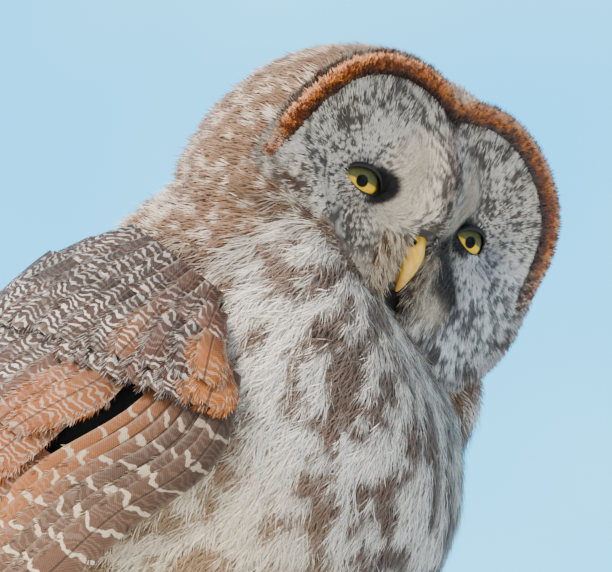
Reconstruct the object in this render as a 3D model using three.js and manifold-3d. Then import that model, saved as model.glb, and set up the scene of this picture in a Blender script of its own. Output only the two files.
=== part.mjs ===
// A great grey owl, life size, gripping a short cut branch over a plain display stand.
// Millimetres. +Z is up, the owl's body faces -Y and its left is +X.
// The origin is the centre of the base's underside.

import * as THREE from "three";
import { mergeVertices } from "three/addons/utils/BufferGeometryUtils.js";
import Module from "manifold-3d";

const wasm = await Module();
wasm.setup();
const { Manifold, Mesh: SolidMesh } = wasm;

const degrees = Math.PI / 180;
const v3 = (x, y, z) => new THREE.Vector3(x, y, z);

// Driving sizes of the stand
const gap = 0.35; // clear space kept between touching pieces
const baseWidth = 290;
const baseDepth = 350;
const baseThick = 20;
const baseBevel = 3;
const rodRadius = 6;
const rodApart = 180;
const perchTop = 165; // height of the branch's upper side
const perchRadius = 20;
const perchLength = 250;
const perchY = -30;

// Driving sizes of the body
const bodyLean = 42 * degrees; // the trunk's axis leans forward from upright
const bodyRise = 163; // trunk centre above the branch's upper side
const neckSplit = 126; // where the torso ends and the neck begins, along the lean axis
const headAlong = 212; // head centre, along the lean axis
const headBehind = 18; // and behind it

// The head's pose on the neck
const headTurn = -27.8 * degrees; // to the owl's right
const headNod = 20.3 * degrees; // face down
const headTilt = 9.1 * degrees; // left side down

// Driving sizes of the head
const discWidth = 88; // half width of the facial disc
const rimY = -22; // how far the disc's rim lies in front of the head's centre
const discDome = 20; // how far the disc swells in front of its rim
const headBackY = 78;
const eyeApart = 33; // each eye's distance from the midline
const eyeRadius = 12.4;
const eyeY = -27;
const eyeOut = 10 * degrees; // each eye looks this far outwards
const lidThick = 1.7;
const lidHalf = 9.8; // half the length of the opening between the lids
const ridgeHeight = 15; // the ridge from brow to bill
const nostrilRadius = 1.6;
const nostrilPlace = v3(7.6, -50, -16); // on the owl's left, in the head's frame

// Driving sizes of the feathers
const vaneThick = 1.1;
const vaneTilt = 1.6; // each vane's back edge lies this far above its middle
const discTiers = [
  { from: 17, reach: 0.64, count: 5, wide: 14, lift: 2.2 },
  { from: 34, reach: 0.97, count: 8, wide: 15, lift: 3 },
];
const discVaneThick = 1.6;
const shortestDiscVane = 13;
const ruffCount = 27;
const ruffLength = 17;
const ruffHalfWidth = 11.5;
const ruffThick = 2.4;
const tailLength = 232;
const tailShorter = 34; // how much shorter the outermost tail feathers are
const tailHalfWidth = 15;
const tailFeathers = 12;
const tailVaneThick = 1.3;

// Driving sizes of legs, feet and claws
const legHeight = 64;
const footApart = 36;
const toeReach = perchRadius + 7; // toe centre-line's distance from the branch's axis
const heelSize = v3(15.5, 18, 11.5);
const clawRadius = 4.1;
const clawTip = 0.5;
const clawSweep = 50; // degrees round the branch

const mix = THREE.MathUtils.lerp;
const bell = (d, width) => Math.exp(-((d / width) ** 2));
const ease = (x, from, to) => THREE.MathUtils.smoothstep(x, from, to);

// A smooth curve through rows of [position, value, value ...], held level past its ends.
function along(rows) {
  const places = rows.map((row) => row[0]);
  const values = rows.flatMap((row) => row.slice(1));
  const curve = new THREE.CubicInterpolant(places, values, rows[0].length - 1);
  const last = places[places.length - 1];
  return (place) => [...curve.evaluate(Math.min(Math.max(place, places[0]), last))];
}

// Solids

function surface(points, index) {
  const geometry = new THREE.BufferGeometry().setFromPoints(points);
  geometry.setIndex(index);
  return geometry;
}

// Rings of points, closed round each ring, with one point at each end.
function closedSkin(first, rings, last) {
  const points = [first, ...rings.flat(), last];
  const round = rings[0].length;
  const at = (i, j) => 1 + i * round + (j % round);
  const end = points.length - 1;
  const index = [];
  for (let j = 0; j < round; j++) {
    index.push(0, at(0, j + 1), at(0, j));
    index.push(end, at(rings.length - 1, j), at(rings.length - 1, j + 1));
    for (let i = 0; i + 1 < rings.length; i++) {
      index.push(at(i, j), at(i, j + 1), at(i + 1, j + 1));
      index.push(at(i, j), at(i + 1, j + 1), at(i + 1, j));
    }
  }
  return surface(points, index);
}

// A thin plate over rows of points, split into triangles alike on both faces.
function plate(rows, thickness) {
  const long = rows.length;
  const wide = rows[0].length;
  const flat = rows.flat();
  const faces = [];
  for (let i = 0; i + 1 < long; i++)
    for (let j = 0; j + 1 < wide; j++) {
      const a = i * wide + j;
      faces.push(a, a + wide, a + wide + 1, a, a + wide + 1, a + 1);
    }
  const middle = surface(flat, faces);
  middle.computeVertexNormals();
  const normals = middle.getAttribute("normal");
  const points = [];
  for (const way of [0.5, -0.5])
    flat.forEach((point, k) => {
      const i = Math.floor(k / wide);
      const j = k % wide;
      const push = way * thickness(i / (long - 1), j / (wide - 1));
      points.push(point.clone().addScaledVector(v3().fromBufferAttribute(normals, k), push));
    });
  const under = flat.length;
  const index = [...faces];
  for (let k = 0; k < faces.length; k += 3)
    index.push(under + faces[k], under + faces[k + 2], under + faces[k + 1]);
  const edge = [];
  for (let j = 0; j < wide; j++) edge.push(j);
  for (let i = 1; i < long; i++) edge.push(i * wide + wide - 1);
  for (let j = wide - 2; j >= 0; j--) edge.push((long - 1) * wide + j);
  for (let i = long - 2; i > 0; i--) edge.push(i * wide);
  edge.forEach((a, k) => {
    const b = edge[(k + 1) % edge.length];
    index.push(a, b, under + b, a, under + b, under + a);
  });
  return surface(points, index);
}

// A closed surface as a solid, whichever way its faces were wound.
function solid(geometry) {
  const bare = geometry.clone();
  bare.deleteAttribute("normal");
  bare.deleteAttribute("uv");
  const merged = mergeVertices(bare, 1e-4);
  const vertProperties = new Float32Array(merged.getAttribute("position").array);
  const triVerts = new Uint32Array(merged.index.array);
  const made = new Manifold(new SolidMesh({ numProp: 3, vertProperties, triVerts }));
  if (made.volume() > 0) return made;
  for (let k = 0; k < triVerts.length; k += 3) {
    [triVerts[k + 1], triVerts[k + 2]] = [triVerts[k + 2], triVerts[k + 1]];
  }
  return new Manifold(new SolidMesh({ numProp: 3, vertProperties, triVerts }));
}

// The same surface pushed out by a distance, to cut a neighbour clear of it.
function swollen(geometry, distance) {
  const out = mergeVertices(geometry.clone(), 1e-4);
  out.computeVertexNormals();
  const place = out.getAttribute("position");
  const normal = out.getAttribute("normal");
  const sign = solidVolumeSign(out);
  for (let k = 0; k < place.count; k++) {
    const point = v3().fromBufferAttribute(place, k);
    point.addScaledVector(v3().fromBufferAttribute(normal, k), sign * distance);
    place.setXYZ(k, point.x, point.y, point.z);
  }
  return solid(out);
}

function solidVolumeSign(geometry) {
  const place = geometry.getAttribute("position");
  const index = geometry.index;
  const corner = (k) => v3().fromBufferAttribute(place, index.getX(k));
  let sum = 0;
  for (let k = 0; k < index.count; k += 3) {
    sum += corner(k).dot(corner(k + 1).cross(corner(k + 2)));
  }
  return Math.sign(sum);
}

function largest(body) {
  const pieces = body.decompose();
  return pieces.reduce((best, piece) => (piece.volume() > best.volume() ? piece : best));
}

function geometryOf(body) {
  const mesh = body.getMesh();
  const points = [];
  for (let k = 0; k < mesh.numVert; k++) {
    const at = k * mesh.numProp;
    points.push(v3(...mesh.vertProperties.subarray(at, at + 3)));
  }
  return surface(points, [...mesh.triVerts]);
}

const owl = new THREE.Group();
const headGroup = new THREE.Group();

function addNode(name, body, colour, roughness = 0.8, group = owl) {
  const material = new THREE.MeshStandardMaterial({ color: colour, roughness, metalness: 0 });
  const mesh = new THREE.Mesh(geometryOf(largest(body)), material);
  mesh.name = name;
  group.add(mesh);
}

const cutBy = (body, ...cutters) => body.subtract(Manifold.union(cutters));

// The trunk: torso and neck in one smooth surface about the lean axis

const trunkCentre = v3(0, perchY + 4, perchTop + bodyRise);
const axisUp = v3(0, -Math.sin(bodyLean), Math.cos(bodyLean));
const backward = v3(0, Math.cos(bodyLean), Math.sin(bodyLean));

// Distance along the axis, then half width, depth to the belly and depth to the back
const trunkSizes = along([
  [-158, 22, 18, 15],
  [-120, 64, 72, 42],
  [-75, 97, 120, 68],
  [-20, 114, 128, 86],
  [40, 119, 125, 96],
  [90, 114, 118, 101],
  [130, 102, 106, 100],
  [160, 90, 80, 95],
  [185, 76, 52, 88],
  [205, 58, 30, 70],
]);
const roundness = 2.25; // 2 is an ellipse, more is fuller

// A point on a section: the angle is 0 at the back, 90 degrees at the side, 180 at the belly.
function sectionPoint(s, angle, sizes, off, side) {
  const [halfWidth, belly, back] = sizes;
  const across = Math.sin(angle);
  const deep = Math.cos(angle);
  const full = (Math.abs(across) ** roundness + Math.abs(deep) ** roundness) ** (-1 / roundness);
  const depth = (deep > 0 ? back : belly) + off;
  return trunkCentre
    .clone()
    .addScaledVector(axisUp, s)
    .addScaledVector(backward, deep * full * depth)
    .add(v3(side * across * full * (halfWidth + off), 0, 0));
}

function trunkSurface() {
  const round = 30;
  const low = -158;
  const high = 205;
  const steps = 16;
  const rings = [];
  for (let i = 0; i <= steps; i++) {
    const s = mix(low, high, i / steps);
    const sizes = trunkSizes(s);
    const ring = [];
    for (let j = 0; j < round; j++) {
      ring.push(sectionPoint(s, (j / round) * 2 * Math.PI, sizes, 0, 1));
    }
    rings.push(ring);
  }
  const end = (s) => trunkCentre.clone().addScaledVector(axisUp, s);
  return closedSkin(end(low - 4), rings, end(high + 6));
}

// The head, in its own frame: +X its left, -Y the way the face looks, +Z the crown

// Angle from the crown in degrees, then the facial disc's reach and the whole head's reach there
const outline = along([
  [0, 55, 66],
  [12, 60, 68],
  [30, 68, 72],
  [58, 82, 85],
  [90, discWidth, 92],
  [125, 84, 90],
  [155, 74, 83],
  [180, 68, 76],
]);

function outlineAt(x, z) {
  return outline(Math.atan2(Math.abs(x), z) / degrees);
}

// The face's depth at a place on it: a shallow dome with a ridge from brow to bill and a bowl round each eye.
function faceY(x, z) {
  const [disc] = outlineAt(x, z);
  const q = Math.min(1, Math.hypot(x, z) / disc);
  const dome = discDome * (1 - q * q);
  const ridge = ridgeHeight * bell(x, 14) * ease(z, -38, -12) * (1 - ease(z, 11, 54));
  const brow = 5 * bell(Math.abs(x) - 19, 8) * bell(z - 12, 12);
  const bowl = 3.5 * bell(Math.hypot(Math.abs(x) - eyeApart, z), 17);
  const groove = 4 * bell(x, 6) * ease(z, 28, 60);
  return rimY - dome - ridge - brow + bowl + groove;
}

function headSurface() {
  const round = 32;
  const faceRings = 8;
  const backRings = 6;
  const rings = [];
  const ring = (place) => {
    const points = [];
    for (let j = 0; j < round; j++) points.push(place((j / round) * 2 * Math.PI));
    rings.push(points);
  };
  for (let i = 1; i <= faceRings; i++) {
    const q = i / faceRings;
    ring((angle) => {
      const [disc] = outlineAt(Math.sin(angle), Math.cos(angle));
      const x = q * disc * Math.sin(angle);
      const z = q * disc * Math.cos(angle);
      return v3(x, faceY(x, z), z);
    });
  }
  for (let i = 1; i < backRings; i++) {
    const k = Math.sin((i / backRings) * 0.5 * Math.PI);
    ring((angle) => {
      const [disc, whole] = outlineAt(Math.sin(angle), Math.cos(angle));
      const swell = mix(disc, whole, ease(k, 0, 0.35));
      const close = Math.sqrt(1 - Math.max(0, (k - 0.2) / 0.8) ** 2);
      return v3(
        swell * close * Math.sin(angle),
        mix(rimY, headBackY, k),
        swell * close * Math.cos(angle),
      );
    });
  }
  return closedSkin(v3(0, faceY(0, 0), 0), rings, v3(0, headBackY, 0));
}

headGroup.position
  .copy(trunkCentre)
  .addScaledVector(axisUp, headAlong)
  .addScaledVector(backward, headBehind);
headGroup.rotation.order = "ZXY";
headGroup.rotation.set(headNod, headTilt, headTurn);
headGroup.updateMatrixWorld(true);
const headToWorld = [...headGroup.matrixWorld.elements];
const worldToHead = [...headGroup.matrixWorld.clone().invert().elements];

// Feather vanes

// A vane over a mapping from (length 0 to 1, width -1 to 1) to a place. It thins towards its tip.
function vane(place, steps, thick = vaneThick, columns = [-1, 0, 1]) {
  const rows = [];
  for (let i = 0; i <= steps; i++) {
    const t = 1 - (1 - i / steps) ** 1.5;
    rows.push(columns.map((c) => place(t, c)));
  }
  return solid(plate(rows, (t, c) => thick * (1 - 0.45 * t) * (1 - 0.4 * Math.abs(2 * c - 1))));
}

const flatBlade = [-1, 1]; // the columns of a small vane with no midrib

// How wide a vane is along its length, from 0 at the root to 1 at the tip
const bladeWidth = (t) => mix(0.62, 1, ease(t, 0, 0.45)) * Math.sqrt(1 - (t / 1.012) ** 5);

// The eye's socket, lids and opening

function eyeCentre(side) {
  return v3(side * eyeApart, eyeY, 0);
}

function ball(radius, centre, round = 18) {
  const geometry = new THREE.SphereGeometry(radius, round, Math.round(round * 0.7));
  return solid(geometry.translate(centre.x, centre.y, centre.z));
}

// The almond between the lids, cut along the eye's line of sight
function lidOpening(side) {
  const shape = new THREE.Shape();
  shape.moveTo(-lidHalf, -1);
  shape.bezierCurveTo(-lidHalf * 0.6, 8.4, lidHalf * 0.6, 9, lidHalf, 1);
  shape.bezierCurveTo(lidHalf * 0.6, -9.8, -lidHalf * 0.6, -9, -lidHalf, -1);
  const geometry = new THREE.ExtrudeGeometry(shape, { depth: 14, bevelEnabled: false, curveSegments: 6 });
  geometry.translate(0, 0, 7);
  geometry.rotateX(90 * degrees);
  geometry.rotateZ(side * eyeOut);
  const centre = eyeCentre(side);
  return solid(geometry.translate(centre.x, centre.y, centre.z));
}

// Facial disc: short vanes that radiate from each eye in two tiers
function discVanes() {
  const made = [];
  for (const side of [-1, 1])
    for (const tier of discTiers)
      for (let k = 0; k < tier.count; k++) {
        const angle = ((k + 0.5) / tier.count) * 2 * Math.PI;
        const to = tier.reach * roomFromEye(angle);
        if (to - tier.from < shortestDiscVane) continue;
        made.push(
          vane((t, c) => {
            const r = mix(tier.from, to, t);
            const wide = c * tier.wide * bladeWidth(t) * mix(0.8, 1, t);
            const x = side * (eyeApart + r * Math.cos(angle) - wide * Math.sin(angle));
            const z = r * Math.sin(angle) + wide * Math.cos(angle);
            return v3(x, faceY(x, z) + mix(1.2, -tier.lift, t) + 0.5 * c, z);
          }, 2, discVaneThick, flatBlade),
        );
      }
  return made;
}

// How far the disc runs from an eye in a direction: to its rim, or to the midline
function roomFromEye(angle) {
  let r = 10;
  while (r < 140) {
    const x = eyeApart + r * Math.cos(angle);
    const z = r * Math.sin(angle);
    if (x < 2 || Math.hypot(x, z) > outlineAt(x, z)[0]) break;
    r += 2;
  }
  return r;
}

// The ruff: locks that curl back over the disc's rim
function ruffLocks() {
  const made = [];
  for (let k = 0; k < ruffCount; k++) {
    const angle = ((k + 0.5) / ruffCount) * 2 * Math.PI;
    const length = ruffLength + 2.5 * Math.sin(k * 2.4);
    made.push(
      vane(
        (t, c) => {
          const turn = angle + (c * ruffHalfWidth * bladeWidth(t)) / discWidth;
          const x = Math.sin(turn);
          const z = Math.cos(turn);
          const [disc] = outlineAt(x, z);
          const r = disc - 5 + length * 0.72 * t;
          const y = rimY - 0.5 - 2.4 * Math.sin(Math.PI * t) + length * 0.55 * t * t + 0.6 * c;
          return v3(r * x, y, r * z);
        },
        2,
        ruffThick,
        flatBlade,
      ),
    );
  }
  return made;
}

// The bill: two tapering hooks swept along curves in the head's midline

function hook(curve, widths, depths, steps = 9, round = 12) {
  const rings = [];
  for (let i = 0; i < steps; i++) {
    const t = i / steps;
    const at = curve.getPoint(t);
    const way = curve.getTangent(t);
    const up = v3(0, way.z, -way.y);
    const ring = [];
    for (let j = 0; j < round; j++) {
      const a = (j / round) * 2 * Math.PI;
      ring.push(
        at
          .clone()
          .addScaledVector(up, Math.cos(a) * depths(t))
          .add(v3(Math.sin(a) * widths(t), 0, 0)),
      );
    }
    rings.push(ring);
  }
  return closedSkin(curve.getPoint(0), rings, curve.getPoint(1));
}

const billUpperCurve = new THREE.QuadraticBezierCurve3(v3(0, -38, -11), v3(0, -61, -13), v3(0, -48, -44));
const billLowerCurve = new THREE.QuadraticBezierCurve3(v3(0, -30, -26), v3(0, -40, -29), v3(0, -43.5, -38));

const billUpperSurface = hook(
  billUpperCurve,
  (t) => 8.8 * (1 - t) ** 0.75 + 0.5,
  (t) => 10.5 * (1 - t) ** 0.85 + 0.5,
);
const billLowerSurface = hook(
  billLowerCurve,
  (t) => 6.4 * (1 - t) ** 0.6 + 0.5,
  (t) => 3.9 * (1 - t) ** 0.6 + 0.5,
  6,
  10,
);

function nostrils() {
  return [-1, 1].map((side) => ball(nostrilRadius, nostrilPlace.clone().multiply(v3(side, 1, 1)), 8));
}

// Wings, folded against the trunk

// The folded wings' own envelope: distance along the axis, half width, depth to the belly and to the back
const wingSizes = along([
  [-345, 40, 30, 34],
  [-270, 52, 40, 40],
  [-200, 66, 52, 48],
  [-130, 86, 80, 62],
  [-75, 103, 112, 74],
  [-20, 116, 129, 88],
  [40, 120, 126, 97],
  [90, 114, 119, 101],
  [145, 96, 95, 99],
]);

// Distance along the axis, then the wing's back edge and its front edge as angles from the back
const wingEdges = along([
  [-345, 8, 40],
  [-270, 9, 60],
  [-200, 10, 76],
  [-130, 12, 92],
  [-75, 14, 106],
  [-20, 18, 120],
  [40, 24, 130],
  [90, 32, 128],
  [138, 46, 104],
]);

const wingThick = along([
  [-150, 5],
  [-100, 7],
  [-20, 10],
  [60, 11],
  [138, 7],
]);

const wingTop = 138;
const wingCoreEnd = -150;
const wingSink = 2.5; // how deep its core is let into the trunk before it is cut clear

const wingPoint = (side, s, angle, off) =>
  sectionPoint(s, angle * degrees, wingSizes(s), off, side);

function wingCore(side) {
  const rows = [];
  const steps = 8;
  const columns = 5;
  for (let i = 0; i <= steps; i++) {
    const s = mix(wingTop, wingCoreEnd, i / steps);
    const [back, front] = wingEdges(s);
    const [thick] = wingThick(s);
    const row = [];
    for (let j = 0; j <= columns; j++) {
      row.push(wingPoint(side, s, mix(back, front, j / columns), thick / 2 - wingSink));
    }
    rows.push(row);
  }
  return solid(
    plate(rows, (t, c) => {
      const [thick] = wingThick(mix(wingTop, wingCoreEnd, t));
      const edge = Math.min(1, 4 * Math.min(c, 1 - c), 8 * t + 0.25);
      return thick * mix(0.75, 1, edge);
    }),
  );
}

// Tiers of vanes from the wing's edge upwards. Roots and tips are places along the axis, for the vane
// nearest the wing's front and the one nearest the back. Across is 0 at the wing's back edge, 1 at its front.
const wingTiers = [
  {
    name: "primaries",
    count: 7,
    steps: 3,
    roots: [10, -40],
    tips: [-215, -340],
    across: [0.98, 0.3],
    toTip: [0.95, 0.35],
    halfWidth: 17,
    rise: [2, 4],
  },
  {
    name: "secondaries",
    count: 7,
    steps: 3,
    roots: [-30, 10],
    tips: [-165, -235],
    across: [0.84, 0.12],
    toTip: [0.86, 0.1],
    halfWidth: 17,
    rise: [3, 8],
  },
  {
    name: "greater coverts",
    count: 6,
    steps: 2,
    columns: flatBlade,
    roots: [18, 40],
    tips: [-72, -100],
    across: [0.94, 0.16],
    toTip: [0.93, 0.16],
    halfWidth: 16,
    rise: [5, 12],
  },
  {
    name: "median coverts",
    count: 5,
    steps: 2,
    columns: flatBlade,
    roots: [76, 78],
    tips: [-16, -28],
    across: [0.92, 0.2],
    toTip: [0.92, 0.18],
    halfWidth: 18,
    rise: [6, 13.5],
  },
];

function wingVane(side, tier, f) {
  const root = mix(...tier.roots, f);
  const towardBack = tier.name === "primaries" ? Math.sin(f * 0.5 * Math.PI) : f;
  const tip = mix(...tier.tips, towardBack);
  const place = (t, c) => {
    const s = mix(root, tip, t);
    const [back, front] = wingEdges(s);
    const across = mix(mix(...tier.across, f), mix(...tier.toTip, f), t);
    const [halfTrunk] = wingSizes(s);
    const turn = (c * tier.halfWidth * bladeWidth(t)) / halfTrunk / degrees;
    return wingPoint(side, s, mix(back, front, across) + turn, mix(...tier.rise, t) - vaneTilt * c);
  };
  return vane(place, tier.steps, vaneThick, tier.columns);
}

function wingVanes(side) {
  return wingTiers.flatMap((tier) => {
    const places = Array.from({ length: tier.count }, (_, k) => k / (tier.count - 1));
    return places.map((f) => wingVane(side, tier, f));
  });
}

// Tail: overlapping vanes in a shallow tent, on a core of tail coverts

function tailPoint(x, s, rise) {
  return trunkCentre
    .clone()
    .addScaledVector(axisUp, s)
    .addScaledVector(backward, rise)
    .add(v3(x, 0, 0));
}

const tailRoot = -152;

function tailVanes() {
  const made = [];
  const half = tailFeathers / 2;
  for (const side of [-1, 1])
    for (let k = 0; k < half; k++) {
      const outer = k / (half - 1);
      const length = tailLength - tailShorter * outer * outer;
      made.push(
        vane(
          (t, c) => {
            const centre = side * (mix(3, 12, outer) + mix(5, 30, outer) * t);
            const x = centre + c * tailHalfWidth * bladeWidth(t);
            const rise = 7 - 1.9 * k - 0.012 * x * x + 6 * t * t - side;
            return tailPoint(x, tailRoot + 14 - length * t, rise);
          },
          3,
          tailVaneThick,
        ),
      );
    }
  return made;
}

function tailCore() {
  const rings = [];
  const steps = 5;
  const round = 14;
  for (let i = 0; i <= steps; i++) {
    const t = i / steps;
    const ring = [];
    for (let j = 0; j < round; j++) {
      const a = (j / round) * 2 * Math.PI;
      const x = Math.sin(a) * mix(30, 16, t);
      ring.push(tailPoint(x, tailRoot + 20 - 110 * t, -1.5 * t + Math.cos(a) * mix(14, 3.5, t)));
    }
    rings.push(ring);
  }
  return solid(closedSkin(tailPoint(0, tailRoot + 21, 0), rings, tailPoint(0, tailRoot - 92, -2)));
}

// Legs and feet: a feathered column, a foot and four toes that grip the branch

const toes = [
  { name: "inner", aside: -13, from: 62, to: -6, thick: 7 },
  { name: "middle", aside: 3, from: 66, to: -14, thick: 7.4 },
  { name: "outer", aside: 19, from: 60, to: 0, thick: 6.6 },
  { name: "hind", aside: -2, from: 118, to: 182, thick: 6.6 },
];

// A place round the branch: 0 degrees is its front, 90 its top
function roundPerch(x, angle, distance) {
  return v3(
    x,
    perchY - distance * Math.cos(angle * degrees),
    perchTop - perchRadius + distance * Math.sin(angle * degrees),
  );
}

function tube(place, radius, steps, round) {
  const rings = [];
  for (let i = 0; i <= steps; i++) {
    const t = i / steps;
    const way = place(Math.min(1, t + 0.02)).sub(place(Math.max(0, t - 0.02))).normalize();
    const side = v3(1, 0, 0).addScaledVector(way, -way.x).normalize();
    const up = v3().crossVectors(way, side);
    const ring = [];
    for (let j = 0; j < round; j++) {
      const a = (j / round) * 2 * Math.PI;
      ring.push(
        place(t)
          .addScaledVector(side, Math.cos(a) * radius(t))
          .addScaledVector(up, Math.sin(a) * radius(t)),
      );
    }
    rings.push(ring);
  }
  return closedSkin(place(0), rings, place(1));
}

function toeSurface(side, spec) {
  const middle = side * footApart;
  return tube(
    (t) =>
      roundPerch(
        middle + side * spec.aside * mix(0.35, 1, t),
        mix(spec.from, spec.to, t),
        toeReach + 3 * bell(t, 0.4),
      ),
    (t) => spec.thick * mix(1.15, 0.8, t),
    4,
    6,
  );
}

function claw(side, spec) {
  const x = side * (footApart + spec.aside);
  const way = Math.sign(spec.to - spec.from);
  const start = spec.to - way * 4;
  return solid(
    tube(
      (t) => roundPerch(x, start + way * clawSweep * t, toeReach - 1.5 * t + 3 * Math.sin(Math.PI * t)),
      (t) => mix(clawRadius, clawTip, t ** 0.8),
      3,
      6,
    ),
  );
}

function footHeel(side) {
  const geometry = new THREE.SphereGeometry(1, 12, 6);
  geometry.scale(...heelSize);
  return solid(geometry.translate(side * footApart, perchY + 2, perchTop + 8.5));
}

function legSurface(side) {
  const sizes = along([
    [0, 15, 17],
    [14, 17, 20],
    [36, 26, 29],
    [legHeight, 34, 36],
  ]);
  const rings = [];
  const steps = 5;
  const round = 18;
  const foot = v3(side * footApart, perchY + 3, perchTop + 15);
  for (let i = 0; i <= steps; i++) {
    const rise = (legHeight * i) / steps;
    const [wide, deep] = sizes(rise);
    const ring = [];
    for (let j = 0; j < round; j++) {
      const a = (j / round) * 2 * Math.PI;
      const out = v3(wide * Math.cos(a) + side * rise * 0.08, deep * Math.sin(a) + rise * 0.12, rise);
      ring.push(foot.clone().add(out));
    }
    rings.push(ring);
  }
  return closedSkin(foot, rings, foot.clone().add(v3(side * 5, 8, legHeight + 1)));
}

// The stand and the branch

function perchSurface(extra = 0) {
  const rings = [];
  const steps = 6;
  const round = 14;
  const half = perchLength / 2;
  for (let i = 0; i <= steps; i++) {
    const x = mix(-half, half, i / steps);
    const rim = i === 0 || i === steps ? 1.5 : 0;
    const ring = [];
    for (let j = 0; j < round; j++) {
      const a = (j / round) * 360;
      const bark = 0.5 * Math.sin(3 * a * degrees + x * 0.04) - rim;
      ring.push(roundPerch(x + (extra ? Math.sign(x) * extra : 0), a, perchRadius - 0.5 + bark + extra));
    }
    rings.push(ring);
  }
  return closedSkin(roundPerch(-half - extra, 0, 0), rings, roundPerch(half + extra, 0, 0));
}

function standBase() {
  const shape = new THREE.Shape();
  shape.absellipse(0, 0, baseWidth / 2 - baseBevel, baseDepth / 2 - baseBevel, 0, 2 * Math.PI);
  const geometry = new THREE.ExtrudeGeometry(shape, {
    depth: baseThick - 2 * baseBevel,
    bevelThickness: baseBevel,
    bevelSize: baseBevel,
    bevelSegments: 1,
    curveSegments: 16,
  });
  return solid(geometry.translate(0, 0, baseBevel));
}

function standRod(side) {
  const low = baseThick + gap;
  const high = perchTop - perchRadius;
  const geometry = new THREE.CylinderGeometry(rodRadius, rodRadius, high - low, 14);
  geometry.rotateX(90 * degrees);
  return solid(geometry.translate((side * rodApart) / 2, perchY, (high + low) / 2));
}

// Everything put together

const trunk = solid(trunkSurface());
const trunkClear = swollen(trunkSurface(), gap);
const headSkin = headSurface();
const headSolid = solid(headSkin);
const headClear = swollen(headSkin, gap);
const perchClear = swollen(perchSurface(), gap);

const splitAt = axisUp.dot(trunkCentre) + neckSplit;
const torso = trunk.trimByPlane(axisUp.clone().negate().toArray(), -(splitAt - gap / 2));
const neck = trunk.trimByPlane(axisUp.toArray(), splitAt + gap / 2);

const sides = [
  ["right", -1],
  ["left", 1],
];

// The head with its lids, disc vanes and ruff, clear of the neck's plumage and the bill
const billRoom = [swollen(billUpperSurface, gap), swollen(billLowerSurface, gap)];
const sockets = sides.map(([, side]) => ball(eyeRadius + gap, eyeCentre(side), 14));
const lids = sides.map(([, side]) => ball(eyeRadius + lidThick, eyeCentre(side), 14));
const openings = sides.map(([, side]) => lidOpening(side));
const plumes = Manifold.union([...discVanes(), ...ruffLocks()]);
const headPlumes = plumes.subtract(trunkClear.transform(worldToHead));
const headWhole = Manifold.union([headSolid, headPlumes, ...lids]);
addNode("head", cutBy(headWhole, ...sockets, ...openings, ...billRoom), 0x8d857b, 0.9, headGroup);

sides.forEach(([name, side]) => {
  addNode(`eye_${name}`, ball(eyeRadius, eyeCentre(side), 14), 0xe0a81c, 0.15, headGroup);
});
const upperBill = solid(billUpperSurface);
const lowerBill = solid(billLowerSurface).subtract(billRoom[0]);
addNode("bill_upper", cutBy(upperBill, ...nostrils()), 0xd9a441, 0.4, headGroup);
addNode("bill_lower", lowerBill, 0xb98a3c, 0.45, headGroup);

const lidRoom = sides.map(([, side]) => ball(eyeRadius + lidThick + gap, eyeCentre(side), 14));
const headRoom = Manifold.union([headClear, ...lidRoom, ...billRoom]).transform(headToWorld);
addNode("neck", neck.subtract(headRoom), 0x8a7a68);
addNode("torso", torso, 0x9a8c7c);

const tail = Manifold.union([tailCore(), ...tailVanes()]);
addNode("tail", tail.subtract(trunkClear), 0x7a5d45);

sides.forEach(([name, side]) => {
  const wing = Manifold.union([wingCore(side), ...wingVanes(side)]);
  addNode(`wing_${name}`, wing.subtract(trunkClear), 0x83654c);
});

sides.forEach(([name, side]) => {
  const leg = solid(legSurface(side));
  const legClear = swollen(legSurface(side), gap);
  addNode(`leg_${name}`, leg.subtract(trunkClear), 0xb5a793);
  const foot = Manifold.union([footHeel(side), ...toes.map((spec) => solid(toeSurface(side, spec)))]);
  addNode(`foot_${name}`, cutBy(foot, perchClear, legClear), 0xa99c8a);
  toes.forEach((spec) => {
    const clear = swollen(toeSurface(side, spec), gap);
    addNode(`claw_${name}_${spec.name}`, cutBy(claw(side, spec), perchClear, clear), 0x1d1a18, 0.35);
  });
});

addNode("perch", solid(perchSurface()), 0x5d4a3a, 0.95);
addNode("stand_base", standBase(), 0x3a2a1e, 0.5);
sides.forEach(([name, side]) => {
  addNode(`stand_rod_${name}`, standRod(side).subtract(perchClear), 0x2b2b2d, 0.4);
});

owl.add(headGroup);

export default owl;
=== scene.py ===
# The looks of a great grey owl: skin, feathers, eyes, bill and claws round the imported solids.
# Metres, in the solids' own frame: +Z up, the owl's body faces -Y and its left is +X.
import itertools
import math
from collections import namedtuple

import bpy
import numpy as np
from bpy.props import FloatProperty, FloatVectorProperty, IntProperty, PointerProperty
from mathutils import Matrix, Vector


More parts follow.
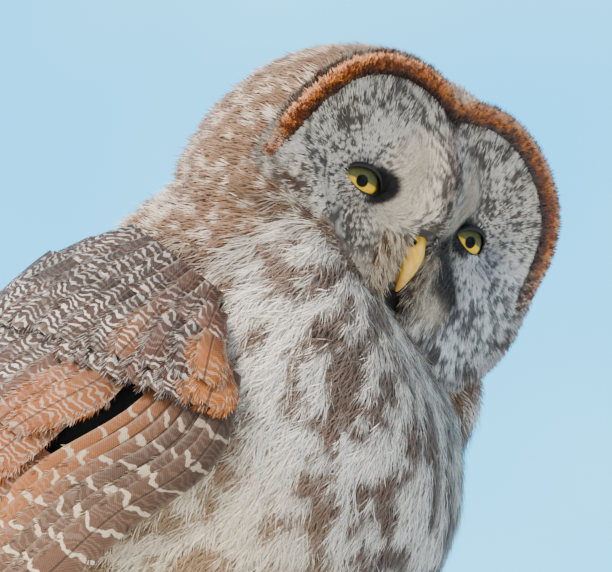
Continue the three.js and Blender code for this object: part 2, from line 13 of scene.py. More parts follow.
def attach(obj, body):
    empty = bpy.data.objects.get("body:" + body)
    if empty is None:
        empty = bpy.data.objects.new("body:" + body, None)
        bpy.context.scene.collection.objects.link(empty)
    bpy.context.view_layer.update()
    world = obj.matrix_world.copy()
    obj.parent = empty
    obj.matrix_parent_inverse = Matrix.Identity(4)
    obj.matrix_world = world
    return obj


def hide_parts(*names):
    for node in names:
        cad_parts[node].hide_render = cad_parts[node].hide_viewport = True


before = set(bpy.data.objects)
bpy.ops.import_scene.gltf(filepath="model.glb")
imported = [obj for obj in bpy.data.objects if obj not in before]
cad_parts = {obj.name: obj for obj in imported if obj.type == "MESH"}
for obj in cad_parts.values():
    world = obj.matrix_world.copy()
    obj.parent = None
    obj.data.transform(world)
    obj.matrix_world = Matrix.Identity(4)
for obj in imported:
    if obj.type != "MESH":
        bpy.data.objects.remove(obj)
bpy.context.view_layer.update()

bl_info = {
    "name": "Great grey owl",
    "version": (1, 0, 0),
    "blender": (4, 5, 0),
    "location": "3D View > Sidebar > Owl",
    "description": "Builds the plumage, eyes, bill and claws of a perched great grey owl",
    "category": "Add Mesh",
}

MM = 0.001
BODY = "root"

# The body's pose and sizes, the same driving sizes as the solids', in metres
PERCH_TOP = 165 * MM
PERCH_RADIUS = 20 * MM
PERCH_LENGTH = 250 * MM
PERCH_Y = -30 * MM
BODY_LEAN = math.radians(42)
BODY_RISE = 163 * MM
HEAD_ALONG = 212 * MM
HEAD_BEHIND = 18 * MM
HEAD_TURN = math.radians(-27.8)
HEAD_NOD = math.radians(20.3)
HEAD_TILT = math.radians(9.1)

TRUNK_CENTRE = np.array([0, PERCH_Y + 4 * MM, PERCH_TOP + BODY_RISE])
AXIS_UP = np.array([0, -math.sin(BODY_LEAN), math.cos(BODY_LEAN)])
BACKWARD = np.array([0, math.cos(BODY_LEAN), math.sin(BODY_LEAN)])
LEVEL = np.array([1.0, 0, 0])
ROUNDNESS = 2.25

# Sizes of the head, in millimetres in its own frame. CLOSE_FROM is the share of the depth behind the disc
# where the head starts to close
RIM_Y = -22
RIM_FORWARD = 16
DISC_DOME = 20
HEAD_BACK_Y = 78
CLOSE_FROM = 0.2
COLLAR_RADIUS = 9
NECK_RADIUS = 22
THROAT_CUT = 24
EYE_APART = 33
EYE_RADIUS = 12.4
EYE_Y = -27
EYE_OUT = math.radians(10)
EYE_OPENING = (10.2, 6.6)
LID_HALF = 9.8
UPPER_LID = 1.3
LOWER_LID = 0.42

# Sizes of trunk, wings, mantle, tail and feet, in millimetres
TRUNK_LOW, TRUNK_HIGH = -158, 205
WING_TOP = 132
WING_LOW = -150
BED_FRONT = 0.88
MANTLE_STEP = 13.0
TAIL_ROOT = -152
TAIL_LENGTH = 232
TAIL_PAIRS = 6
FOOT_APART = 36
TOE_REACH = PERCH_RADIUS / MM + 7
TOES = {
    "inner": {"aside": -13, "start": 62, "end": -6, "thick": 7},
    "middle": {"aside": 3, "start": 66, "end": -14, "thick": 7.4},
    "outer": {"aside": 19, "start": 60, "end": 0, "thick": 6.6},
    "hind": {"aside": -2, "start": 118, "end": 182, "thick": 6.6},
}
SIDES = {"right": -1, "left": 1}

# The face's bars and the ruff, in millimetres, the ruff's count of feathers, and two colours of painted shade
# for the face's far side
FACE_BAR = 2.7
RUFF_WIDE = 7.5
RUFF_COUNT = 30000
FAR_DISC_SHADED_WHITE = np.array([0.78, 0.82, 0.88])
FAR_DISC_PAINTED_SHADE = np.array([0.03, 0.04, 0.07])


# Numbers

def linear(red, green, blue):
    """A colour picked in screen values from 0 to 255, as linear light."""
    values = np.array([red, green, blue]) / 255
    return np.where(values <= 0.04045, values / 12.92, ((values + 0.055) / 1.055) ** 2.4)


def ease(x, low, high):
    t = np.clip((x - low) / (high - low), 0, 1)
    return t * t * (3 - 2 * t)


def bell(x, width):
    return np.exp(-((x / width) ** 2))


def mix(a, b, t):
    """From number a to number b by t."""
    return a + (b - a) * t


def tint(a, b, t):
    """From colour or point a to b, by one number t for each."""
    return a + (b - a) * np.asarray(t, float)[..., None]


def unit(vectors):
    return vectors / np.maximum(np.linalg.norm(vectors, axis=-1, keepdims=True), 1e-12)


def smooth_table(rows):
    """A smooth curve through rows of [place, value ...], held level past its ends."""
    table = np.array(rows, float)
    places, values = table[:, 0], table[:, 1:]
    slopes = np.gradient(values, places, axis=0)

    def at(place):
        p = np.clip(place, places[0], places[-1])
        k = np.clip(np.searchsorted(places, p, side="right") - 1, 0, len(places) - 2)
        step = (places[k + 1] - places[k])[..., None]
        t = ((p - places[k]) / (places[k + 1] - places[k]))[..., None]
        t2, t3 = t * t, t * t * t
        return (
            (2 * t3 - 3 * t2 + 1) * values[k]
            + (t3 - 2 * t2 + t) * step * slopes[k]
            + (3 * t2 - 2 * t3) * values[k + 1]
            + (t3 - t2) * step * slopes[k + 1]
        )

    return at


def lattice_noise(points, size, seed=0):
    """Smooth noise from 0 to 1 that changes over the given size."""
    q = np.asarray(points, float) / size
    cell = np.floor(q).astype(np.int64)
    f = q - cell
    f = f * f * (3 - 2 * f)
    total = np.zeros(len(q))
    primes = np.array([73856093, 19349663, 83492791])
    for corner in itertools.product((0, 1), repeat=3):
        h = ((cell + np.array(corner)) * primes).sum(1) + seed * 7919
        h = (h ^ (h >> 13)) * 1274126177 & 0xFFFFFFFF
        h = (h ^ (h >> 16)) * 2246822519 & 0xFFFFFFFF
        weight = np.prod(np.where(corner, f, 1 - f), axis=1)
        total += weight * ((h ^ (h >> 15)) & 0xFFFF) / 0xFFFF
    return total


def circle(count):
    """Angles all the way round, the last one a step short of the first."""
    return np.linspace(0, 2 * math.pi, count, endpoint=False)


def bent(a, b, c, t):
    """A curve from point a to point c that leans towards b."""
    return (1 - t) ** 2 * a + 2 * t * (1 - t) * b + t * t * c


def layered_noise(points, size, seed=0, layers=3):
    total, weight = 0.0, 0.0
    for k in range(layers):
        total = total + lattice_noise(points, size / 2**k, seed + 31 * k) / 1.7**k
        weight += 1 / 1.7**k
    return total / weight


# Colours that a user may change

def colour_setting(name, description, screen):
    default = tuple(float(v) for v in linear(*screen))
    return FloatVectorProperty(name=name, description=description, subtype="COLOR", size=3, default=default)


def length_setting(name, description, default):
    return FloatProperty(name=name, description=description, default=default, unit="LENGTH")


def place_setting(name, description, default):
    return FloatVectorProperty(name=name, description=description, default=default, size=3,
                               subtype="TRANSLATION")


class OwlColours(bpy.types.PropertyGroup):
    """The plumage's and the bare parts' main colours"""

    white: colour_setting("White", "Pale feathers of breast and crown", (246, 240, 230))
    pale: colour_setting("Pale grey", "Pale ground of the facial disc and back", (204, 190, 172))
    cream: colour_setting("Cream", "Warm pale feathers of nape and belly", (238, 216, 184))
    tan: colour_setting("Tan", "Blotches of the lower belly", (178, 140, 102))
    brown: colour_setting("Brown", "Blotches of breast and crown", (122, 84, 60))
    dark: colour_setting("Dark brown", "Mantle and wing coverts", (58, 40, 30))
    # Black brown also paints the shadow in the gaps between the wing's feathers
    black: colour_setting("Black brown", "Eye corners, chin and feather gaps", (22, 17, 15))
    rust: colour_setting("Rust", "The ruff and the flight feathers", (140, 62, 14))
    orange: colour_setting("Orange buff", "Orange patches of the wing", (178, 98, 22))
    iris: colour_setting("Iris", "The bright part of the eye", (238, 184, 12))
    olive: colour_setting("Olive", "The shaded part of the eye", (104, 104, 60))
    bill: colour_setting("Bill", "The bill's horn", (238, 178, 30))
    claw: colour_setting("Claw", "The claws' horn", (34, 30, 28))
    bark: colour_setting("Bark", "The branch", (104, 84, 66))
    wood: colour_setting("Wood", "The stand's base", (112, 70, 42))
    metal: colour_setting("Metal", "The stand's rods", (52, 50, 48))
    floor: colour_setting("Floor", "The floor", (226, 226, 224))


class OwlPlumage(bpy.types.PropertyGroup):
    """Sizes of the coat"""

    coat_depth: length_setting("Coat depth", "How far the skin lies inside the coat", 7 * MM)
    skin_grain: length_setting("Skin grain", "Size of the skin's faces", 3 * MM)
    body_spacing: length_setting("Body spacing", "Distance between the body's tufts", 3.5 * MM)
    crown_spacing: length_setting("Crown spacing", "Distance between the crown's tufts", 2.15 * MM)
    leg_spacing: length_setting("Leg spacing", "Distance between the legs' tufts", 2.4 * MM)
    face_hairs: IntProperty(name="Face feathers", description="Fine feathers on each half of the facial disc",
                            default=62000)
    seed: IntProperty(name="Seed", description="Changes the place of every feather", default=5)


class OwlStage(bpy.types.PropertyGroup):
    """Where the camera stands, how it sees the owl, and the light"""

    camera_place: place_setting("Camera place", "Where the camera stands", (-1.044877, -0.546435, 0.031536))
    camera_target: place_setting("Camera target", "The middle of the view", (-0.006156, -0.126764, 0.461578))
    view_height: FloatProperty(name="View height", description="The view's angle from top to bottom",
                               default=math.radians(12.36586), subtype="ANGLE")
    sun_power: FloatProperty(name="Key light", description="Watts of the warm key light", default=100)
    fill_power: FloatProperty(name="Fill light", description="Watts of the cool fill light", default=9)
    sky_strength: FloatProperty(name="Sky", description="Strength of the light from all round", default=0.8)


def tone(name):
    """One of the owl's colours as linear light."""
    return np.array(getattr(bpy.context.scene.owl_colours, name)[:], float)


def plumage():
    return bpy.context.scene.owl_plumage


def random_draws(share):
    """A seeded stream of random numbers for one piece."""
    return np.random.default_rng([plumage().seed, share])


# The trunk's and the folded wings' surfaces: millimetres along the axis, half width, belly and back

TRUNK_SIZES = smooth_table([
    [-158, 22, 18, 15],
    [-120, 64, 72, 42],
    [-75, 97, 120, 68],
    [-20, 114, 128, 86],
    [40, 119, 125, 96],
    [90, 114, 118, 101],
    [130, 102, 106, 100],
    [160, 90, 80, 95],
    [185, 76, 52, 88],
    [205, 58, 30, 70],
])

WING_SIZES = smooth_table([
    [-345, 40, 30, 34],
    [-270, 52, 40, 40],
    [-200, 66, 52, 48],
    [-130, 86, 80, 62],
    [-75, 103, 112, 74],
    [-20, 116, 129, 88],
    [40, 120, 126, 97],
    [90, 114, 119, 101],
    [145, 96, 95, 99],
])

# Where the folded wing's back edge and front edge lie, in degrees from the back
WING_EDGES = smooth_table([
    [-345, 8, 40],
    [-270, 9, 60],
    [-200, 10, 74],
    [-130, 12, 87],
    [-75, 14, 98],
    [-20, 18, 107],
    [40, 24, 112],
    [90, 32, 117],
    [138, 46, 104],
])


def section_point(s, angle, sizes, off):
    """A point near a section: s and off in millimetres, the angle 0 at the back and growing to the left."""
    across, deep = np.sin(angle), np.cos(angle)
    full = (np.abs(across) ** ROUNDNESS + np.abs(deep) ** ROUNDNESS) ** (-1 / ROUNDNESS)
    half_width, belly, back = sizes[..., 0], sizes[..., 1], sizes[..., 2]
    depth = np.where(deep > 0, back, belly) + off
    point = TRUNK_CENTRE + s[..., None] * MM * AXIS_UP
    point = point + (deep * full * depth * MM)[..., None] * BACKWARD
    point[..., 0] += across * full * (half_width + off) * MM
    return point


def trunk_place(points):
    """Millimetres along the trunk's axis, and the angle from the back, negative on the right."""
    d = points - TRUNK_CENTRE
    return d @ AXIS_UP / MM, np.arctan2(d[:, 0], d @ BACKWARD)


# The head's surface, in its own frame in millimetres: -Y is the face's direction and +X its left

# Degrees from the head's top, and how far the disc and the whole head reach there
HEAD_OUTLINE = smooth_table([
    [0, 53, 69],
    [12, 58, 73],
    [30, 67, 77],
    [58, 79, 86],
    [90, 86, 93],
    [125, 89, 98],
    [155, 77, 86],
    [180, 68, 76],
])


def head_axes():
    turns = ((HEAD_TURN, "Z"), (HEAD_NOD, "X"), (HEAD_TILT, "Y"))
    turn, nod, tilt = (Matrix.Rotation(angle, 3, axis) for angle, axis in turns)
    return np.array(turn @ nod @ tilt)


HEAD_AXES = head_axes()
HEAD_CENTRE = TRUNK_CENTRE + AXIS_UP * HEAD_ALONG + BACKWARD * HEAD_BEHIND


def head_to_row(local):
    return HEAD_CENTRE + np.asarray(local) * MM @ HEAD_AXES.T


def row_to_head(points):
    return (points - HEAD_CENTRE) @ HEAD_AXES / MM


def outline_at(x, z):
    return HEAD_OUTLINE(np.degrees(np.arctan2(np.abs(x), z)))


def disc_share(x, z):
    """0 at the middle of the face, 1 at the facial disc's rim."""
    return np.hypot(x, z) / outline_at(x, z)[..., 0]


def rim_y(x, z):
    """The disc's rim stands forward round the brow and falls back under the cheeks."""
    return RIM_Y - RIM_FORWARD * (1 - ease(np.degrees(np.arctan2(np.abs(x), z)), 66, 108))


def face_y(x, z):
    """The face's depth: a shallow dome, a ridge from brow to bill and a bowl round each eye."""
    q = np.minimum(1, disc_share(x, z))
    dome = DISC_DOME * (1 - q * q) + (RIM_Y - rim_y(x, z)) * q**3
    ridge = 15 * bell(x, 14) * ease(z, -28, 2) * (1 - ease(z, 11, 54))
    brow = 6 * bell(np.abs(x) - 20, 8) * bell(z - 13, 11)
    bowl = 4.5 * bell(np.hypot(np.abs(x) - EYE_APART, z), 17)
    groove = 4 * bell(x, 6) * ease(z, 28, 60)
    return RIM_Y - dome - ridge - brow + bowl + groove


def head_share(h):
    """About 1 on the head's surface and more away from it, for points in the head's frame."""
    x, z = h[:, 0], h[:, 2]
    rim = rim_y(x, z)
    back = (h[:, 1] - rim) / (HEAD_BACK_Y - rim)
    disc, whole = outline_at(x, z).T
    beyond = np.maximum(0, back - CLOSE_FROM) / (1 - CLOSE_FROM)
    behind = np.hypot(np.hypot(x, z) / mix(disc, whole, ease(back, 0, 0.35)), beyond)
    before = np.maximum(0, face_y(x, z) - h[:, 1] - 3) / 12
    return np.where(back > 0, behind, np.hypot(x, z) / disc + before)


# Where the neck's feathers close over the face: millimetres to the owl's left, and how high
COLLAR = smooth_table([
    [-90, -6],
    [-79, -11],
    [-58, -22],
    [-42, -40],
    [-10, -48],
    [12, -51],
    [34, -58],
    [56, -66],
    [90, -74],
])


def collar_z(x):
    return COLLAR(x)[..., 0]


def on_face(h):
    """Whether a point of the skin lies on the facial disc, clear of the neck's feathers."""
    x, z = h[:, 0], h[:, 2]
    off = h[:, 1] - face_y(x, z)
    near = (off > -4) & (off < 9) & (h[:, 1] < rim_y(x, z) + 3)
    return near & (disc_share(x, z) < 1) & (z > collar_z(x))


# Markings: the colour of skin and coat at a place of the body

def crown_colour(points):
    """Crown, nape and sides of the head: cream and grey with brown mottling."""
    h = row_to_head(points)
    n = layered_noise(points, 7 * MM, 3, 3)
    fine = lattice_noise(points, 2.4 * MM, 5)
    cloud = layered_noise(points, 24 * MM, 8, 2)
    dark = ease(n + 0.45 * (fine - 0.5), 0.38, 0.5)
    pale = 0.8 * tint(tone("white"), tone("cream"), 0.3 + 0.7 * cloud)
    colour = tint(pale, 0.7 * tint(tone("brown"), tone("tan"), 0.5 * cloud), 0.95 * dark)
    near_ruff = bell(disc_share(h[:, 0], h[:, 2]) - 1.1, 0.16) * (h[:, 1] < 25)
    return tint(colour, tint(tone("rust"), tone("brown"), dark), 0.3 * near_ruff)


def trunk_colour(points):
    """Breast, belly, flanks and back."""
    s, angle = trunk_place(points)
    front = ease(np.abs(np.degrees(angle)), 72, 110)
    flow = np.stack([angle * 0.11, s * MM, 0 * s], 1)
    patches = layered_noise(points, 45 * MM, 14, 2)
    low = 1 - ease(s + 40 * (np.abs(angle) - 2.1), 60, 135)
    pale = tint(tint(tone("white"), tone("pale"), 0.6 * patches), 1.12 * tone("cream"), 0.95 * low)
    dark = tint(tint(tone("brown"), tone("dark"), patches), tone("tan"), 0.8 * low)
    blotch = layered_noise(flow * np.array([1.25, 0.9, 1]), 10 * MM, 11, 3)
    breast = tint(pale, dark, 0.92 * ease(blotch + 0.25 * (patches - 0.5) - 0.03 * low, 0.48, 0.57))
    mottle = layered_noise(flow * np.array([1.3, 1, 1]), 7 * MM, 21, 3)
    greyish = 0.7 * tint(tone("pale"), tone("brown"), 0.4 + 0 * s)
    mantle = tint(greyish, tint(tone("dark"), tone("brown"), patches), ease(mottle, 0.38, 0.54))
    return tint(mantle, breast, front)


def leg_colour(points):
    return tint(tone("cream"), tone("tan"), 0.6 * ease(layered_noise(points, 6 * MM, 41, 2), 0.5, 0.66))


def disc_ground(points, x, z):
    """The disc's ground with its dark flecks, cooler and darker on the far side as painted shade, and the
    patterns that the marks on it share.
    """
    ex = np.abs(x) - EYE_APART
    r = np.hypot(ex, z)
    round_eye = np.arctan2(z, ex) * 22
    fleck = layered_noise(np.stack([1.25 * r, round_eye, 0 * r], 1), 1.6, 51, 2)
    streak = layered_noise(np.stack([0.35 * r, round_eye, 0 * r], 1), 1.3, 59, 2)
    cloud = layered_noise(points, 16 * MM, 53, 2)
    wobble = 5 * (layered_noise(points, 9 * MM, 57, 2) - 0.5)
    ring = 0.5 + 0.5 * np.cos(2 * math.pi * (r + wobble) / FACE_BAR)
    dark = ease(0.62 * fleck + 0.16 * ring + 0.34 * cloud, 0.51, 0.6)
    far = ease(x, 8, 40) * (1 - ease(z, -8, 24))
    low_far = far * (1 - ease(z, -4, 10))
    streaked = ease(0.6 * streak + 0.4 * fleck + 0.3 * (cloud - 0.5), 0.45, 0.53)
    dark = mix(dark, streaked, 0.75 * low_far)
    # Less cream on the far side and bluish white low on it: painted cool shade
    pale = tint(tint(tone("pale"), tone("white"), fleck), tone("cream"), 0.5 * cloud * (1 - far))
    pale = tint(pale, FAR_DISC_SHADED_WHITE, 0.5 * low_far)
    colour = tint(pale, tint(tone("black"), tone("dark"), cloud), 0.92 * dark)
    # A bluish dark patch beyond the far eye: painted shade of the far side
    colour = tint(colour, FAR_DISC_PAINTED_SHADE, 0.6 * bell(x - 50, 12) * bell(z + 2, 15))
    return colour, dark, fleck, cloud


def brow_marks(colour, x, z, dark, fleck):
    """Pale brows, a dark line between them and the black inner corners of the eyes."""
    brow = bell(np.abs(x) - 17, 8.5) * ease(z, -26, -8) * (1 - ease(z, 20, 36))
    brow_colour = 0.82 * tint(tone("cream"), tone("pale"), 0.5)
    colour = tint(colour, brow_colour, np.clip(1.15 * brow, 0, 1) * (1 - 0.35 * dark))
    line = bell(x + 1.5 * np.sin(z / 4), 4.2) * ease(z, -4, 4) * (1 - ease(z, 40, 60))
    colour = tint(colour, tone("dark"), np.clip(line * (0.35 + 0.8 * fleck), 0, 0.85))
    ex = np.abs(x) - EYE_APART
    corner = (1 - ease(np.hypot(ex / 10.8, (z - 1) / 7.6), 1.2, 1.42)) * ease(-ex, -3, 4)
    return tint(colour, tone("black"), corner * (1 - 0.4 * ease(z, 7, 11)))


def bill_marks(colour, x, z, fleck, cloud):
    """Brown bristly patches beside the bill, the black chin and a pale mark under it."""
    beard = bell(np.abs(x) - 13, 6) * bell(z + 29, 9)
    brownish = 0.7 * tint(tone("dark"), tone("brown"), cloud)
    hairy = tint(brownish, tone("cream"), 0.8 * ease(fleck, 0.42, 0.56))
    colour = tint(colour, hairy, 0.7 * beard)
    down, aside = 0.69 * (x - 13) - 0.73 * (z + 6), 0.73 * (x - 13) + 0.69 * (z + 6)
    beside_bill = bell(aside, 7) * ease(down, -3, 5) * (1 - ease(down, 28, 44))
    chin = beside_bill + bell(x - 8, 9) * bell(z + 40, 7) + bell(x + 6, 7) * bell(z + 46, 9)
    colour = tint(colour, tone("black"), np.clip(1.4 * chin, 0, 0.95))
    moustache = bell(np.abs(x) - 26, 8) * bell(z + 38, 6)
    return tint(colour, tone("cream"), 0.8 * moustache)


def face_colour(points):
    """The facial disc, with a dark seam at its rim and where the neck's feathers close over it."""
    h = row_to_head(points)
    x, z = h[:, 0], h[:, 2]
    colour, dark, fleck, cloud = disc_ground(points, x, z)
    colour = brow_marks(colour, x, z, dark, fleck)
    colour = bill_marks(colour, x, z, fleck, cloud)
    seam = bell(z - collar_z(x) - 0.5, 1.5)
    rim = np.maximum(0.5 * ease(disc_share(x, z), 0.93, 0.99), 0.8 * seam)
    return tint(colour, tint(tone("dark"), tone("rust"), 0.4 * fleck), rim)


def ruff_colour(points):
    """The ruff: a dark inner edge and rusty outside, greyer and darker beside and under the far cheek as
    painted shade.
    """
    h = row_to_head(points)
    inward = outline_at(h[:, 0], h[:, 2])[:, 0] - np.hypot(h[:, 0], h[:, 2])
    fleck = layered_noise(points, 1.4 * MM, 81, 2)
    patch = layered_noise(points, 12 * MM, 83, 2)
    rusty = tint(tone("rust"), tone("dark"), 0.5 * ease(patch, 0.45, 0.7))
    golden = tint(1.3 * tone("orange"), tone("cream"), 0.25 * ease(1 - inward / RUFF_WIDE, 0.4, 0.9))
    colour = tint(golden, 0.8 * rusty, ease(fleck + 0.2 * (inward / RUFF_WIDE - 0.5), 0.44, 0.54))
    inner = ease(inward + 3 * (patch - 0.5), 0.7 * RUFF_WIDE, 1.1 * RUFF_WIDE)
    colour = tint(colour, tint(tone("black"), tone("dark"), fleck), 0.75 * inner)
    # Greyer and darker low on the far side, less under the chin: painted shade of the far cheek
    beside = (1 - ease(h[:, 2], -18, 16)) * ease(h[:, 0], -40, 20)
    chin = bell(np.abs(h[:, 0]) - 42, 14) * bell(h[:, 2] + 58, 16)
    greyish = tint(tone("pale"), tone("dark"), ease(fleck, 0.3, 0.55))
    return tint(colour, greyish, 0.85 * beside * (1 - 0.8 * chin))


def markings(points):
    """The skin's colour at each point, the same that its coat is given."""
    h = row_to_head(points)
    colour = tint(trunk_colour(points), crown_colour(points), 1 - ease(head_share(h), 1.08, 1.22))
    return tint(colour, face_colour(points), on_face(h))


# Meshes

def new_object(name, vertices, faces, materials=(), attributes=None, bake_uv=None, smooth=True):
    """A mesh object from arrays; all its faces have the same number of corners."""
    faces = np.asarray(faces, np.int32)
    corners = faces.shape[1]
    mesh = bpy.data.meshes.new(name)
    mesh.vertices.add(len(vertices))
    mesh.vertices.foreach_set("co", np.asarray(vertices, np.float32).ravel())
    mesh.loops.add(faces.size)
    mesh.loops.foreach_set("vertex_index", faces.ravel())
    mesh.polygons.add(len(faces))
    mesh.polygons.foreach_set("loop_start", np.arange(0, faces.size, corners, dtype=np.int32))
    mesh.update(calc_edges=True)
    mesh.polygons.foreach_set("use_smooth", np.full(len(faces), smooth))
    for key, values in (attributes or {}).items():
        put_attribute(mesh, key, values)
    if bake_uv is not None:
        layer = mesh.uv_layers.new(name="OFBake")
        layer.data.foreach_set("uv", np.asarray(bake_uv, np.float32)[faces.ravel()].ravel())
    for material in materials:
        mesh.materials.append(material)
    obj = bpy.data.objects.new(name, mesh)
    bpy.context.scene.collection.objects.link(obj)
    return obj


def put_attribute(mesh, key, values):
    values = np.asarray(values, np.float32)
    if key.endswith("colour"):
        full = np.ones((len(values), 4), np.float32)
        full[:, :3] = values
        mesh.attributes.new(key, "FLOAT_COLOR", "POINT").data.foreach_set("color", full.ravel())
    else:
        mesh.attributes.new(key, "FLOAT_VECTOR", "POINT").data.foreach_set("vector", values.ravel())


def finished(obj, slot, *replaced):
    """A piece in its place: it rides on the body and hides the imported nodes it stands for. Its slot is not
    used.
    """
    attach(obj, BODY)
    if replaced:
        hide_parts(*replaced)


def grid_faces(rows, columns, closed=False):
    """Quads over a grid of points laid out row by row."""
    i, j = np.meshgrid(np.arange(rows - 1), np.arange(columns if closed else columns - 1), indexing="ij")
    right = (j + 1) % columns
    quads = [i * columns + j, i * columns + right, (i + 1) * columns + right, (i + 1) * columns + j]
    return np.stack(quads, -1).reshape(-1, 4)


def closed_skin(first, rings, last):
    """Points and outward triangles of rings closed at both ends."""
    count, around = len(rings), len(rings[0])
    points = np.vstack([np.reshape(first, (1, 3)), *rings, np.reshape(last, (1, 3))])
    quads = grid_faces(count, around, closed=True) + 1
    j = np.arange(around)
    start = np.stack([np.zeros_like(j), 1 + (j + 1) % around, 1 + j], -1)
    base = 1 + (count - 1) * around
    end = np.stack([np.full_like(j, len(points) - 1), base + j, base + (j + 1) % around], -1)
    faces = np.vstack([start, quads[:, [0, 1, 2]], quads[:, [0, 2, 3]], end])
    a, b, c = ((points - points.mean(0))[faces[:, k]] for k in range(3))
    inside_out = (a * np.cross(b, c)).sum() < 0
    return points, faces[:, ::-1] if inside_out else faces


def tube(centre, side, radius, steps, around):
    """A closed tube along centre(t): side is its level direction, radius(t) its size."""
    t = np.linspace(0, 1, steps)
    path = centre(t)
    way = unit(np.gradient(path, axis=0))
    level = unit(side - way * (side * way).sum(1)[:, None])
    up = np.cross(way, level)
    a = circle(around)[:, None]
    rings = [c + r * (np.cos(a) * l + np.sin(a) * u) for c, r, l, u in zip(path, radius(t), level, up)]
    return closed_skin(path[0], rings, path[-1])


def joined(parts):
    """Several (points, faces) as one."""
    points, faces, at = [], [], 0
    for p, f in parts:
        points.append(p)
        faces.append(np.asarray(f) + at)
        at += len(p)
    return np.vstack(points), np.vstack(faces)


# Materials

class Signal:
    """A node's output, which can be added, multiplied and shaped as if it were a number."""

    def __init__(self, socket):
        self.socket = socket
        self.tree = socket.id_data

    def through(self, operation, other=0.0):
        return Signal(put(self.tree, "ShaderNodeMath", {0: self, 1: other}, operation=operation).outputs[0])

    def __add__(self, other):
        return self.through("ADD", other)

    def __mul__(self, other):
        return self.through("MULTIPLY", other)

    def wave(self):
        """From 0 to 1 and back as this goes on."""
        return self.through("SINE") * 0.5 + 0.5

    def parts(self):
        return [Signal(socket) for socket in put(self.tree, "ShaderNodeSeparateXYZ", {0: self}).outputs]

    def stretched(self, *scale):
        return Signal(put(self.tree, "ShaderNodeMapping", {"Vector": self, "Scale": scale}).outputs["Vector"])

    def noise(self, scale, detail=2.0, roughness=0.5):
        inputs = {"Vector": self, "Scale": scale, "Detail": detail, "Roughness": roughness}
        return Signal(put(self.tree, "ShaderNodeTexNoise", inputs).outputs["Fac"])

    def ramp(self, *stops):
        """Greys or colours by (place, value) stops."""
        made = put(self.tree, "ShaderNodeValToRGB", {"Fac": self})
        elements = made.color_ramp.elements
        elements.remove(elements[1])
        elements[0].position = stops[0][0]
        for place, _ in stops[1:]:
            elements.new(place)
        for element, (_, value) in zip(elements, stops):
            element.color = rgba(value) if np.ndim(value) else (value, value, value, 1)
        return Signal(made.outputs["Color"])


def feed(socket, value):
    """Sets an input to a number or a colour, or links another node's output to it."""
    if isinstance(value, Signal):
        socket.id_data.links.new(value.socket, socket)
    else:
        socket.default_value = value


def put(tree, kind, inputs, **settings):
    """A node with its settings and inputs."""
    made = tree.nodes.new(kind)
    for key, value in settings.items():
        setattr(made, key, value)
    for key, value in inputs.items():
        feed(made.inputs[key], value)
    return made


def rgba(colour):
    return (*map(float, colour), 1.0)


def blend(factor, a, b, kind="MIX"):
    """From colour a to colour b by the factor. At least one of the three is a node's output."""
    tree = next(value.tree for value in (factor, a, b) if isinstance(value, Signal))
    made = put(tree, "ShaderNodeMix", {0: factor, 6: a, 7: b}, data_type="RGBA", blend_type=kind)
    return Signal(made.outputs[2])


def combined(*parts):
    return Signal(put(parts[0].tree, "ShaderNodeCombineXYZ", dict(enumerate(parts))).outputs[0])


class Finish:
    """A new material and what its shader is fed."""

    def __init__(self, name, roughness, specular):
        self.material = bpy.data.materials.new(name)
        self.material.use_nodes = True
        self.tree = self.material.node_tree
        self.set({"Roughness": roughness, "Specular IOR Level": specular})

    def set(self, inputs):
        for key, value in inputs.items():
            feed(self.tree.nodes["Principled BSDF"].inputs[key], value)

    def place(self):
        return Signal(put(self.tree, "ShaderNodeTexCoord", {}).outputs["Object"])

    def attribute(self, name, output="Vector"):
        return Signal(put(self.tree, "ShaderNodeAttribute", {}, attribute_name=name).outputs[output])

    def bump(self, height, distance, strength):
        inputs = {"Height": height, "Distance": distance, "Strength": strength}
        made = put(self.tree, "ShaderNodeBump", inputs)
        self.set({"Normal": Signal(made.outputs["Normal"])})

    def done(self, colour, **coat):
        """The material in this colour; coat and sheen settings are named as weight or roughness of either."""
        self.set({"Base Color": colour})
        self.set({key.replace("_", " ").title(): value for key, value in coat.items()})
        return self.material


def plumage_material():
    """Soft feathers: the markings carried by the mesh, broken up by fine light and dark barbs."""
    if "plumage" in bpy.data.materials:
        return bpy.data.materials["plumage"]
    finish = Finish("plumage", 0.75, 0.25)
    place = finish.place()
    light = place.noise(900, 3, 0.6).ramp((0.3, 0.76), (0.7, 1.2))
    colour = blend(1.0, finish.attribute("plume_colour", "Color"), light, "MULTIPLY")
    finish.bump(place.noise(1400), 0.3 * MM, 0.4)
    return finish.done(colour, sheen_weight=0.2, sheen_roughness=0.5)


